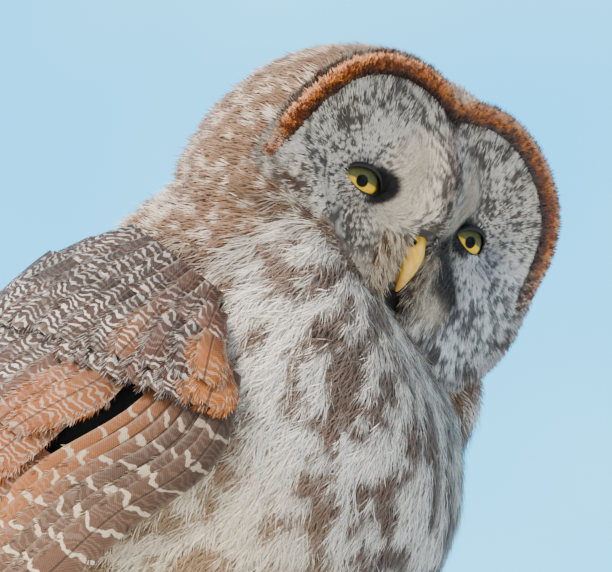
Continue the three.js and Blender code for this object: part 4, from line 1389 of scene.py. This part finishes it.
def build_mantle():
    """The mantle: broad, barred feathers across the back, between the wings and over their upper edges."""
    rng = random_draws(60)
    places = mantle_places(rng)
    count = len(places)
    length, half = rng.uniform(34, 42, count), rng.uniform(10, 12.5, count)
    turn = rng.normal(0, 0.12, count)
    points = trunk_vanes(places[:, 0] + 22, places[:, 1], length, half, turn, (3, 8), 4)
    dark = rng.random(count)
    look = {
        "colour": 0.34 * tint(tone("dark"), tone("brown"), dark),
        "mark": tint(0.6 * tone("white"), 0.7 * tone("pale"), dark),
        "bars": 0.1 + 0.2 * dark, "waves": 0.4 + 0.4 * rng.random(count), "pale_edge": 0.2 + 0.3 * dark,
        "blunt": 4,
    }
    vane_piece("mantle", points, (length, half), look, "body_feathers")
    vane_barbs("mantle_barbs", points, 64, look, "body_feathers", rng)


def tail_point(x, s, rise):
    point = TRUNK_CENTRE + s[..., None] * MM * AXIS_UP + rise[..., None] * MM * BACKWARD
    point[..., 0] += x * MM
    return point


def build_tail():
    """Twelve long tail feathers in a shallow tent, with coverts round their roots."""
    rng = random_draws(70)
    half_width, blunt = 15, 8
    t, c = np.linspace(0, 1, 36)[:, None], np.linspace(-1, 1, 11)[None, :]
    feathers, lengths = [], []
    for side in SIDES.values():
        for k in range(TAIL_PAIRS):
            outer = k / (TAIL_PAIRS - 1)
            length = TAIL_LENGTH - 34 * outer * outer + rng.normal(0, 2)
            middle = side * ((3 + 9 * outer) + (5 + 25 * outer) * t)
            x = middle + c * half_width * vane_width(t, blunt)
            rise = 7 - 1.9 * k - 0.012 * x * x + 6 * t * t - side + 0.8 * (1 - c * c)
            feathers.append(tail_point(x, TAIL_ROOT + 14 - length * t + 0 * x, rise))
            lengths.append(length)
    shades = rng.random(len(feathers))
    look = {
        "colour": tint(tone("dark"), tone("brown"), 0.5 * shades),
        "mark": tint(tone("pale"), tone("tan"), shades),
        "bars": 0.6, "waves": 0.55, "pale_edge": 0.3, "blunt": blunt,
    }
    sizes = (np.array(lengths), half_width)
    vane_piece("tail_feathers", np.array(feathers), sizes, look, "tail_feathers", ["tail"])
    build_tail_coverts(rng)


def build_tail_coverts(rng):
    """Soft feathers round the tail's root."""
    rounds, count, root, up = 6, 420, [], []
    for k in range(rounds):
        f = k / (rounds - 1)
        a = rng.uniform(0, 2 * math.pi, count)
        x, rise = np.sin(a) * (30 - 14 * f), np.cos(a) * (14 - 10 * f) - 1.5 * f
        root.append(tail_point(x, TAIL_ROOT + 22 - 88 * f + rng.normal(0, 5, count), rise))
        up.append(unit(np.stack([np.sin(a), 0 * a, 0 * a], 1) + np.cos(a)[:, None] * BACKWARD))
    root, up = np.vstack(root), np.vstack(up)
    look = {
        "blades": 6, "spread": 0.3, "base": 3.0, "slot": "tail_feathers", "smear": 0.25, "length": 26,
        "width": 1.1, "lift": 0.18, "ruffle": 0.08, "droop": 0.12, "shades": (0.5, 0.9, 1.1),
    }
    tufts("tail_coverts", root, up, laid_on(-AXIS_UP + 0 * root, up), look, trunk_colour, trunk_bake, rng)


# Eyes

def eye_frame(side):
    """The eye's centre, its sight, and the directions across and up, in the head's frame."""
    centre = np.array([side * EYE_APART, EYE_Y, 0])
    sight = np.array([side * math.sin(EYE_OUT), -math.cos(EYE_OUT), 0])
    up = np.array([0.0, 0.0, 1.0])
    return centre, sight, np.cross(up, sight), up


# How far each eye looks to the owl's right, and how far both look down
GAZE = {"right": 0.16, "left": 0.27}
GAZE_DOWN = 0.07


def lid_loop(side, count):
    """The almond between the lids, in millimetres across and up, over the upper lid and back by the lower."""
    t = np.linspace(0, 1, count // 2, endpoint=False)[:, None]

    def arc(points):
        a, b, c, d = (np.array(p, float) for p in points)
        return (1 - t) ** 3 * a + 3 * (1 - t) ** 2 * t * b + 3 * (1 - t) * t * t * c + t**3 * d

    reach = LID_HALF * 0.6
    upper = arc([(-LID_HALF, 1.2), (-reach, 6.6), (reach, 7.0), (LID_HALF, 0.2)])
    lower = arc([(LID_HALF, 0.2), (reach, -6.8), (-reach, -6.4), (-LID_HALF, 1.2)])
    return np.vstack([upper, lower]) * [-side, 1]


def on_eye(side, uv, radius):
    """Points on a sphere round the eye, across and up from its line of sight."""
    centre, sight, out, up = eye_frame(side)
    depth = np.sqrt(np.maximum(0.01, radius**2 - (uv**2).sum(-1)))
    return centre + uv[..., :1] * out + uv[..., 1:] * up + depth[..., None] * sight


def eye_material():
    """A yellow iris with fine spokes, olive and darker towards the top as painted shade of the upper lid,
    with a dark rim and a black pupil.
    """
    finish = Finish("eye_gloss", 0.3, 0.05)
    across, up, out = finish.attribute("eye_place").parts()
    spokes = combined(up.through("ARCTAN2", across) * 9.0, out * 0.25).noise(1.0, 3)
    # Olive over the upper part of the iris: painted shade of the upper lid
    high = (up * 0.5 + spokes * 0.4).ramp((0.1, 0.0), (0.5, 1.0))
    iris = blend(high, rgba(tone("iris")), rgba(tone("olive")))
    iris = blend(1.0, iris, spokes.ramp((0.3, 0.78), (0.7, 1.18)), "MULTIPLY")
    # Darker towards the top of the iris: painted shade of the upper lid
    iris = blend(1.0, iris, (up * 0.1 + 0.5).ramp((0.4, 1.0), (0.95, 0.4)), "MULTIPLY")
    centimetres = out * 0.1
    rim = centimetres.ramp((0.24, 1.0), (0.285, 0.35), (0.33, 0.0), (0.78, 0.0), (0.95, 0.9))
    colour = blend(rim, iris, rgba(linear(26, 20, 12)))
    pupil = centimetres.ramp((0.255, 1.0), (0.275, 0.0))
    colour = blend(pupil, colour, rgba(linear(6, 6, 6)))
    return finish.done(colour, coat_weight=0.14, coat_roughness=0.03)


def lid_material():
    finish = Finish("lid_skin", 0.5, 0.4)
    place = finish.place()
    light = place.noise(700, 3, 0.6).ramp((0.3, 0.6), (0.7, 1.3))
    finish.bump(place.noise(1600, 2), 0.4 * MM, 0.6)
    return finish.done(blend(1.0, finish.attribute("plume_colour", "Color"), light, "MULTIPLY"))


def build_eyes():
    """Glossy eyes with iris and pupil, and the lids round them."""
    eyes, lids = eye_material(), lid_material()
    around = circle(56)
    for name, side in SIDES.items():
        centre, sight, out, up = eye_frame(side)
        sight = unit(sight + np.array([-GAZE[name], 0, -GAZE_DOWN]))
        out = unit(np.cross(up, sight))
        up = np.cross(sight, out)
        rings, places = [], []
        for polar in np.linspace(0.02, 2.2, 44):
            radius = EYE_RADIUS - 0.15 + 0.55 * bell(polar, 0.5)
            u = radius * math.sin(polar) * np.cos(around)
            v = radius * math.sin(polar) * np.sin(around)
            rings.append(centre + u[:, None] * out + v[:, None] * up + radius * math.cos(polar) * sight)
            places.append(np.stack([u, v, EYE_RADIUS * polar + 0 * u], 1))
        front = centre + (EYE_RADIUS + 0.4) * sight
        points, faces = closed_skin(front, rings, centre - 0.58 * EYE_RADIUS * sight)
        places = np.vstack([[[0, 0, 0]], *places, [[0, 0, 30]]])
        eye = new_object(f"eyeball_{name}", head_to_row(points), faces, [eyes], {"eye_place": places})
        finished(eye, "eye", f"eye_{name}")
        build_lids(name, side, lids)


def build_lids(name, side, material):
    """A rounded rim along the almond and the skin that falls away from it under the feathers."""
    count = 96
    loop = lid_loop(side, count)
    thick = np.where(np.arange(count) < count // 2, UPPER_LID, LOWER_LID)
    thick = thick * (1 - 0.35 * bell(np.abs(loop[:, 0]) - LID_HALF, 2.5))
    following = np.roll(loop, -1, 0) - np.roll(loop, 1, 0)
    outward = unit(np.stack([following[:, 1], -following[:, 0]], 1))
    outward = np.where(((outward * loop).sum(1) < 0)[:, None], -outward, outward)
    sections = []
    for a in np.linspace(math.radians(200), math.radians(-20), 9):
        uv = loop + outward * ((math.cos(a) + 1) * thick)[:, None]
        sections.append(on_eye(side, uv, EYE_RADIUS + 0.6 + math.sin(a) * thick))
    for k in np.linspace(0.15, 1, 7):
        uv = loop + outward * (2 * thick + 5 * k)[:, None]
        sections.append(on_eye(side, uv, EYE_RADIUS + 0.8 - 0.5 * k))
    rows = len(sections)
    points = head_to_row(np.vstack(sections))
    outer = ease(np.repeat(np.arange(rows), count), 8, 11)
    shade = tint(tone("black"), face_colour(points), outer)
    faces = grid_faces(rows, count, closed=True)
    finished(new_object(f"lids_{name}", points, faces, [material], {"plume_colour": shade}), "face_feathers")


# Bill

# The curve from base to tip, and width and depth at the base with the powers by which they narrow
UPPER_BILL = {"curve": ((0, -30, -12), (0, -50, -15), (0, -41, -38)), "wide": (9.0, 0.7), "deep": (10.5, 0.8)}
LOWER_BILL = {"curve": ((0, -22, -24), (0, -32, -26), (0, -36, -33)), "wide": (6.0, 0.6), "deep": (3.6, 0.6)}
NOSTRIL = np.array([4.4, -45, -15.8])


def bill_horn(spec, steps, around, ridge):
    """A half of the bill swept along its curve: its points, faces and each point's place along it."""
    a, b, c = (np.array(p, float) for p in spec["curve"])
    across, high = np.sin(circle(around)), np.cos(circle(around))
    rings, along = [], []
    for t in np.linspace(0, 0.995, steps):
        way = unit(2 * (1 - t) * (b - a) + 2 * t * (c - b))
        up = np.array([0, way[2], -way[1]])
        wide, deep = (size * (1 - t) ** power + 0.4 for size, power in (spec["wide"], spec["deep"]))
        pinch = 1 - ridge * np.clip(high, 0, 1) ** 2 * ease(t, 0, 0.35)
        cere = 1 + 0.05 * bell(t - 0.22, 0.1)
        ring = bent(a, b, c, t) + (high * deep * cere)[:, None] * up
        ring[:, 0] += across * wide * pinch * cere
        rings.append(ring)
        along.append(np.full(around, t))
    points, faces = closed_skin(a, rings, c)
    return points, faces, np.concatenate([[0], *along, [1]])


def bill_material():
    """Yellow horn, warmer at its base and tip, with paler patches painted as highlights and dark nostrils."""
    finish = Finish("bill_horn", 0.32, 0.5)
    along, hole, _ = finish.attribute("bill_place").parts()
    place = finish.place()
    grain = place.stretched(1.0, 1.0, 0.25).noise(500, 3)
    colour = blend(along.ramp((0.1, 1.0), (0.34, 0.0)), rgba(tone("bill")), rgba(linear(206, 140, 56)))
    colour = blend(along.ramp((0.72, 0.0), (0.98, 0.75)), colour, rgba(linear(196, 122, 44)))
    # Paler patches of the horn: painted highlights
    colour = blend(place.noise(120, 2).ramp((0.45, 0.0), (0.7, 0.55)), colour, rgba(linear(246, 208, 92)))
    colour = blend(1.0, colour, grain.ramp((0.3, 0.8), (0.7, 1.12)), "MULTIPLY")
    colour = blend(hole, colour, rgba(linear(28, 18, 12)))
    finish.bump(grain, 0.3 * MM, 0.35)
    return finish.done(colour, coat_weight=0.3, coat_roughness=0.2)


def build_bill():
    """The hooked bill with its cere and nostrils, and the bristles over its base."""
    material = bill_material()
    for name, spec, ridge in (("upper", UPPER_BILL, 0.34), ("lower", LOWER_BILL, 0.0)):
        points, faces, along = bill_horn(spec, 60, 56, ridge)
        near = [np.linalg.norm(points - NOSTRIL * [side, 1, 1], axis=1) for side in SIDES.values()]
        hole = bell(np.minimum(*near), 2.0) * (name == "upper")
        points[:, 0] -= np.sign(points[:, 0]) * 1.6 * hole
        place = np.stack([along, np.clip(1.5 * hole, 0, 1), 0 * along], 1)
        bill = new_object(f"bill_horn_{name}", head_to_row(points), faces, [material], {"bill_place": place})
        finished(bill, "bill", f"bill_{name}")
    build_bristles()


def bristle_colour(points):
    pale = 0.85 * ease(lattice_noise(points, 1.5 * MM, 121), 0.4, 0.6)
    return tint(0.6 * tone("brown"), tone("cream"), pale)


def build_bristles():
    """Stiff brown and pale bristles beside the bill that lie over its base."""
    rng = random_draws(80)
    count = 3600
    side = rng.choice([-1.0, 1.0], count, p=[0.72, 0.28])
    z = rng.uniform(-38, -14, count)
    x = side * rng.uniform(8.5, 17, count)
    root = np.stack([x, face_y(x, z) + 0.5, z], 1)
    up = unit(np.stack([0.35 * side, -np.ones(count), 0 * z], 1))
    toward_tip = np.stack([-0.2 * side, -0.6 + 0 * z, -1 + 0 * z], 1)
    way = laid_on(toward_tip + rng.normal(0, 0.25, (count, 3)), up)
    look = {
        "blades": 1, "spread": 0.2, "base": 0.5, "slot": "face_feathers", "smear": 0.5,
        "length": rng.uniform(7, 14, count), "width": 0.3, "lift": 0.5, "ruffle": 0.2, "droop": 0.25,
        "shades": (0.5, 0.8, 1.0),
    }
    head_tufts("bristles", root, up, way, look, bristle_colour, rng)


# Legs, feet and claws

# Where a claw starts inside its toe and how far it sweeps, in degrees, and its radius
CLAW_START, CLAW_SWEEP = 8, 54
CLAW_RADIUS, CLAW_TAPER = 4.1, 3.6


def round_perch(x, degrees, distance):
    """A place round the branch: 0 degrees is its front, 90 its top; x and distance in millimetres."""
    a = np.radians(degrees)
    y = PERCH_Y / MM - distance * np.cos(a)
    z = (PERCH_TOP - PERCH_RADIUS) / MM + distance * np.sin(a)
    return np.stack([x + 0 * y, y, z], -1) * MM


def toe_centre(side, toe):
    def at(t):
        x = side * (FOOT_APART + toe["aside"] * (0.35 + 0.65 * t))
        return round_perch(x, mix(toe["start"], toe["end"], t), TOE_REACH + 3 * bell(t, 0.4))
    return at


def toe_radius(toe, shrink):
    def at(t):
        return (toe["thick"] * (1.15 - 0.35 * t) - shrink) * MM
    return at


def heel_shell(side, shrink):
    around = circle(24)
    heel = np.array([side * FOOT_APART, PERCH_Y / MM + 2, PERCH_TOP / MM + 8.5])
    size = np.array([15.5, 18, 11.5]) - shrink
    rings = []
    for polar in np.linspace(0.15, math.pi - 0.15, 14):
        level = np.sin(polar) * np.cos(around), np.sin(polar) * np.sin(around)
        rings.append((heel + np.stack([*level, -np.cos(polar) + 0 * around], 1) * size) * MM)
    return closed_skin((heel - [0, 0, size[2]]) * MM, rings, (heel + [0, 0, size[2]]) * MM)


def toe_roots(side, toe, rng):
    """Roots, normals, directions and lengths of one toe's short feathers."""
    count = 1000
    t, a = rng.random(count), rng.uniform(0, 2 * math.pi, count)
    centre = toe_centre(side, toe)
    way = unit(centre(t + 0.01) - centre(t - 0.01))
    level = unit(LEVEL - way * way[:, :1])
    up = np.cos(a)[:, None] * level + np.sin(a)[:, None] * np.cross(way, level)
    root = centre(t) + up * toe_radius(toe, 1.6)(t)[:, None]
    return root, up, way, 6.0 - 2.6 * t


def build_foot(name, side, rng):
    """The toes' and the heel's surface under their coat, and the coat."""
    shells = [tube(toe_centre(side, toe), LEVEL, toe_radius(toe, 1.2), 14, 20) for toe in TOES.values()]
    points, faces = joined([*shells, heel_shell(side, 1.2)])
    # The toes' surface darker than its coat: painted shade under the feathers
    colours = {"plume_colour": 0.6 * leg_colour(points)}
    foot = new_object(f"toes_{name}", points, faces, [plumage_material()], colours)
    finished(foot, "leg_feathers", f"foot_{name}")
    grown = [toe_roots(side, toe, rng) for toe in TOES.values()]
    root, up, way, length = (np.concatenate(part) for part in zip(*grown))
    look = {
        "blades": 3, "spread": 0.3, "base": 0.8, "slot": "leg_feathers", "smear": 0.3, "length": length,
        "width": 0.5, "lift": 0.25, "ruffle": 0.12, "droop": 0.2, "shades": (0.55, 0.92, 1.1),
    }
    tufts(f"toe_coat_{name}", root, up, way, look, leg_colour, trunk_bake, rng)


def build_feet():
    """Feathered legs and toes."""
    rng = random_draws(90)
    for name, side in SIDES.items():
        build_foot(name, side, rng)
    build_leg_coat(rng)


def build_leg_coat(rng):
    root, up = skin_roots(plumage().leg_spacing, rng)
    keep = on_leg(root, 40, 84)
    root, up = root[keep], up[keep]
    look = {
        "blades": 5, "spread": 0.35, "base": 1.6, "slot": "leg_feathers", "smear": 0.25,
        "length": 8 + 8 * ease(root[:, 2], PERCH_TOP, PERCH_TOP + 60 * MM), "width": 0.6, "lift": 0.28,
        "ruffle": 0.1, "droop": 0.2, "shades": (0.5, 0.92, 1.12),
    }
    down = laid_on(np.array([0, 0, -1.0]) + 0 * root, up)
    tufts("leg_coat", root, up, down, look, leg_colour, trunk_bake, rng)


def claw_material():
    finish = Finish("claw_horn", 0.28, 0.5)
    streaks = finish.place().stretched(2.0, 0.6, 0.6).noise(500, 3)
    dark = tone("claw")
    finish.bump(streaks, 0.2 * MM, 0.3)
    return finish.done(streaks.ramp((0.3, dark), (0.75, 2.6 * dark)), coat_weight=0.2)


def claw_centre(x, toe):
    way = math.copysign(1, toe["end"] - toe["start"])

    def at(t):
        turned = toe["end"] - way * CLAW_START + way * CLAW_SWEEP * t
        return round_perch(x, turned, TOE_REACH - 1.5 * t + 3 * np.sin(math.pi * t))
    return at


def claw_radius(t):
    return (CLAW_RADIUS - CLAW_TAPER * t**0.8) * MM


def build_claws():
    """The curved claws that hold the branch."""
    material = claw_material()
    for side_name, side in SIDES.items():
        for toe_name, toe in TOES.items():
            centre = claw_centre(side * (FOOT_APART + toe["aside"]), toe)
            points, faces = tube(centre, LEVEL, claw_radius, 26, 20)
            claw = new_object(f"claw_horn_{side_name}_{toe_name}", points, faces, [material])
            finished(claw, "claw", f"claw_{side_name}_{toe_name}")


# Branch and stand

def bark_material():
    finish = Finish("bark", 0.85, 0.25)
    place = finish.place()
    ridges = place.stretched(0.22, 1, 1).noise(260, 5, 0.65)
    bark = tone("bark")
    colour = ridges.ramp((0.3, 0.25 * bark), (0.48, 0.8 * bark), (0.7, 1.7 * bark))
    lichen = place.noise(60, 3).ramp((0.56, 0.0), (0.68, 0.6))
    finish.bump(ridges, 1.2 * MM, 0.8)
    return finish.done(blend(lichen, colour, rgba(linear(140, 138, 120))))


def cut_wood_material():
    """Growth rings round the branch's axis."""
    finish = Finish("cut_wood", 0.7, 0.3)
    place = finish.place()
    _, y, z = place.parts()
    y, z = y + -PERCH_Y, z + -(PERCH_TOP - PERCH_RADIUS)
    radius = (y * y + z * z).through("SQRT")
    rings = (radius * 3200.0 + place.noise(90, 2) * 6.0).wave()
    finish.bump(rings, 0.2 * MM, 0.3)
    return finish.done(rings.ramp((0.2, linear(196, 160, 112)), (0.9, linear(150, 112, 72))))


def branch_surface(x, a):
    """The branch's radius in millimetres at a place along it and an angle round it."""
    flat = np.stack([x * 0.3, 20 * np.cos(a), 20 * np.sin(a)], -1).reshape(-1, 3)
    rough = layered_noise(flat, 5.0, 131, 4).reshape(x.shape)
    lump = lattice_noise(flat, 26.0, 137).reshape(x.shape)
    distance = PERCH_RADIUS / MM - 0.9 + 2.2 * (rough - 0.5) + 1.2 * (lump - 0.5)
    at_end = np.abs(x) > PERCH_LENGTH / MM / 2 - 0.6
    return distance + 0.5 * np.sin(3 * a + x * 0.04) - 1.5 * at_end


def build_perch():
    """The branch: rough bark and two sawn ends."""
    steps, around, end_rings = 260, 120, 12
    half = PERCH_LENGTH / MM / 2
    x = np.linspace(-half, half, steps)[:, None] + np.zeros((steps, around))
    degrees = np.linspace(0, 360, around, endpoint=False)[None, :] + np.zeros((steps, around))
    distance = branch_surface(x, np.radians(degrees))
    points = round_perch(x, degrees, distance).reshape(-1, 3)
    bark = new_object("branch", points, grid_faces(steps, around, closed=True), [bark_material()])
    finished(bark, "bark", "perch")
    ends = []
    rings = np.linspace(0.02, 1, end_rings)[:, None]
    for side in SIDES.values():
        edge = distance[0 if side < 0 else -1][None, :]
        grid = round_perch(side * (half - 0.2 * rings), degrees[:end_rings], rings * edge)
        ends.append((grid.reshape(-1, 3), grid_faces(end_rings, around, closed=True)))
    finished(new_object("branch_ends", *joined(ends), [cut_wood_material()]), "bark")


def wood_material():
    finish = Finish("varnished_wood", 0.35, 0.5)
    place = finish.place()
    wood = tone("wood")
    figure = place.stretched(0.12, 1, 1).noise(60, 4, 0.6)
    grain = place.stretched(0.06, 1, 1).noise(420, 3, 0.6)
    colour = figure.ramp((0.3, 0.45 * wood), (0.5, 0.95 * wood), (0.7, 1.45 * wood))
    colour = blend(1.0, colour, grain.ramp((0.35, 0.7), (0.65, 1.1)), "MULTIPLY")
    finish.bump(grain, 0.15 * MM, 0.3)
    return finish.done(colour, coat_weight=0.5, coat_roughness=0.15)


def metal_material():
    finish = Finish("painted_metal", 0.4, 0.5)
    speckle = finish.place().noise(1500, 2)
    metal = tone("metal")
    finish.bump(speckle, 0.1 * MM, 0.3)
    return finish.done(speckle.ramp((0.3, 0.8 * metal), (0.7, 1.25 * metal)))


BASE_WIDTH, BASE_DEPTH, BASE_THICK, ROUNDING = 290, 350, 20, 3
ROD_RADIUS, ROD_APART, ROD_END, GAP = 6, 180, 17, 0.35


def build_base():
    """The oval base with a rounded edge."""
    around = circle(160)
    quarter = np.linspace(0, 0.5 * math.pi, 6)
    profile = [(0.4, 0.0, 0.0), (0.8, 0.0, 0.0)]
    for a in quarter:
        profile.append((1, -ROUNDING + ROUNDING * math.sin(a), ROUNDING - ROUNDING * math.cos(a)))
    for a in quarter:
        over = BASE_THICK - ROUNDING + ROUNDING * math.sin(a)
        profile.append((1, -ROUNDING + ROUNDING * math.cos(a), over))
    profile += [(0.8, 0.0, BASE_THICK), (0.4, 0.0, BASE_THICK)]
    rings = []
    for share, inset, z in profile:
        x = (BASE_WIDTH / 2 + inset) * share * np.cos(around)
        y = (BASE_DEPTH / 2 + inset) * share * np.sin(around)
        rings.append(np.stack([x, y, z + 0 * x], 1) * MM)
    points, faces = closed_skin([0, 0, 0], rings, [0, 0, BASE_THICK * MM])
    base = new_object("base", points, faces, [wood_material()])
    finished(base, "stand_wood", "stand_base")


def build_rods():
    """The two rods that carry the branch."""
    metal = metal_material()
    low, high = BASE_THICK + GAP, (PERCH_TOP - PERCH_RADIUS) / MM - ROD_END
    for name, side in SIDES.items():
        def centre(t):
            x = side * ROD_APART / 2 + 0 * t
            return np.stack([x, PERCH_Y / MM + 0 * t, low + (high - low) * t], -1) * MM

        points, faces = tube(centre, LEVEL, lambda t: (ROD_RADIUS + 0 * t) * MM, 12, 40)
        finished(new_object(f"rod_{name}", points, faces, [metal]), "stand_metal", f"stand_rod_{name}")


# Camera, light and floor

def aimed(obj, place, target):
    obj.location = Vector(place)
    obj.rotation_euler = (Vector(target) - Vector(place)).to_track_quat("-Z", "Y").to_euler()
    bpy.context.scene.collection.objects.link(obj)
    return obj


def area_light(name, place, target, power, size, colour):
    light = bpy.data.lights.new(name, "AREA")
    light.energy = power
    light.size = size
    light.color = colour
    return aimed(bpy.data.objects.new(name, light), place, target)


def build_camera(settings):
    """The photograph's view, 612 by 572: the sensor's width is the picture's long side."""
    width, height = 612, 572
    camera = bpy.data.cameras.new("camera")
    camera.sensor_width = 36
    tall = 2 * math.tan(settings.view_height / 2)
    camera.lens = camera.sensor_width / (tall * width / height)
    camera.clip_start, camera.clip_end = 0.05, 60
    placed = aimed(bpy.data.objects.new("camera", camera), settings.camera_place, settings.camera_target)
    bpy.context.scene.camera = placed


def floor_material():
    finish = Finish("floor", 0.9, 0.2)
    floor = tone("floor")
    return finish.done(finish.place().noise(3, 3).ramp((0.3, 0.96 * floor), (0.7, floor)))


def backdrop_material():
    """Light blue with a few paler clouds, giving light of its own."""
    finish = Finish("backdrop", 0.9, 0.0)
    clear, cloudy = np.array([0.02, 0.53, 1.0]), np.array([0.16, 0.74, 1.0])
    colour = finish.place().noise(0.9, 2).ramp((0.35, clear), (0.7, cloudy))
    finish.set({"Emission Color": colour, "Emission Strength": 2.2})
    return finish.done(colour)


def build_backdrop():
    """A wide upright sheet behind the owl, square to the view."""
    half_wide, high, away = 4.5, 5.0, 3.2
    toward = np.array([0.927, 0.375])
    level = np.array([-toward[1], toward[0]])
    ends = [away * toward - half_wide * level, away * toward + half_wide * level]
    corners = [[*ends[0], -0.01], [*ends[1], -0.01], [*ends[1], high], [*ends[0], high]]
    new_object("backdrop", corners, [[0, 1, 2, 3]], [backdrop_material()], smooth=False)


def build_stage():
    """Camera, key and fill light, a pale surround, the backdrop and the floor."""
    settings = bpy.context.scene.owl_stage
    build_camera(settings)
    middle = (0, -0.08, 0.42)
    area_light("key", (-1.35, 0.35, 1.45), middle, settings.sun_power, 0.9, (1.0, 0.92, 0.82))
    area_light("fill", (-0.5, -1.9, 0.7), middle, settings.fill_power, 1.4, (0.8, 0.9, 1.0))
    world = bpy.context.scene.world or bpy.data.worlds.new("surround")
    bpy.context.scene.world = world
    world.use_nodes = True
    sky = world.node_tree.nodes["Background"]
    sky.inputs["Color"].default_value = rgba(linear(208, 226, 246))
    sky.inputs["Strength"].default_value = settings.sky_strength
    half = 6.0
    corners = np.array([[-half, -half, 0], [half, -half, 0], [half, half, 0], [-half, half, 0]])
    floor = new_object("floor", corners, [[0, 1, 2, 3]], [floor_material()], smooth=False)
    build_backdrop()


# Operators, panel and registration

class OWL_OT_stage(bpy.types.Operator):
    """Places the camera, the lights, the floor and the backdrop"""

    bl_idname = "owl.stage"
    bl_label = "Stage"

    def execute(self, context):
        build_stage()
        return {"FINISHED"}


class OWL_OT_skin(bpy.types.Operator):
    """Builds the skin under the coat"""

    bl_idname = "owl.skin"
    bl_label = "Skin"

    def execute(self, context):
        build_skin()
        return {"FINISHED"}


class OWL_OT_head(bpy.types.Operator):
    """Covers the head: facial disc, ruff and crown"""

    bl_idname = "owl.head"
    bl_label = "Head feathers"

    def execute(self, context):
        build_face()
        build_ruff()
        build_crown()
        return {"FINISHED"}


class OWL_OT_body(bpy.types.Operator):
    """Covers breast, belly and back"""

    bl_idname = "owl.body"
    bl_label = "Body feathers"

    def execute(self, context):
        build_body()
        build_mantle()
        return {"FINISHED"}


class OWL_OT_wings(bpy.types.Operator):
    """Builds the folded wings"""

    bl_idname = "owl.wings"
    bl_label = "Wings"

    def execute(self, context):
        build_wings()
        return {"FINISHED"}


class OWL_OT_tail(bpy.types.Operator):
    """Builds the tail"""

    bl_idname = "owl.tail"
    bl_label = "Tail"

    def execute(self, context):
        build_tail()
        return {"FINISHED"}


class OWL_OT_eyes(bpy.types.Operator):
    """Builds the eyes and their lids"""

    bl_idname = "owl.eyes"
    bl_label = "Eyes"

    def execute(self, context):
        build_eyes()
        return {"FINISHED"}


class OWL_OT_bill(bpy.types.Operator):
    """Builds the bill and its bristles"""

    bl_idname = "owl.bill"
    bl_label = "Bill"

    def execute(self, context):
        build_bill()
        return {"FINISHED"}


class OWL_OT_feet(bpy.types.Operator):
    """Builds the feathered legs and toes, and the claws"""

    bl_idname = "owl.feet"
    bl_label = "Feet"

    def execute(self, context):
        build_feet()
        build_claws()
        return {"FINISHED"}


class OWL_OT_stand(bpy.types.Operator):
    """Builds the branch and the stand under it"""

    bl_idname = "owl.stand"
    bl_label = "Stand"

    def execute(self, context):
        build_perch()
        build_base()
        build_rods()
        return {"FINISHED"}


STEPS = (OWL_OT_stage, OWL_OT_skin, OWL_OT_head, OWL_OT_body, OWL_OT_wings, OWL_OT_tail, OWL_OT_eyes,
         OWL_OT_bill, OWL_OT_feet, OWL_OT_stand)


class OWL_PT_panel(bpy.types.Panel):
    """The owl's pieces and settings"""

    bl_label = "Great grey owl"
    bl_idname = "OWL_PT_panel"
    bl_space_type = "VIEW_3D"
    bl_region_type = "UI"
    bl_category = "Owl"

    def draw(self, context):
        for step in STEPS:
            self.layout.operator(step.bl_idname)
        for group in GROUPS:
            settings = getattr(context.scene, group)
            box = self.layout.box()
            for key in settings.__annotations__:
                box.prop(settings, key)


GROUPS = {"owl_colours": OwlColours, "owl_plumage": OwlPlumage, "owl_stage": OwlStage}
CLASSES = (*GROUPS.values(), *STEPS, OWL_PT_panel)


def register():
    for cls in CLASSES:
        bpy.utils.register_class(cls)
    for name, group in GROUPS.items():
        setattr(bpy.types.Scene, name, PointerProperty(type=group))


def unregister():
    for name in GROUPS:
        delattr(bpy.types.Scene, name)
    for cls in reversed(CLASSES):
        bpy.utils.unregister_class(cls)


def main():
    register()
    for step in STEPS:
        name = step.bl_idname.split(".")[1]
        result = getattr(bpy.ops.owl, name)()
        if result != {"FINISHED"}:
            raise RuntimeError(f"{step.bl_label} didn't finish")


if __name__ == "__main__":
    main()
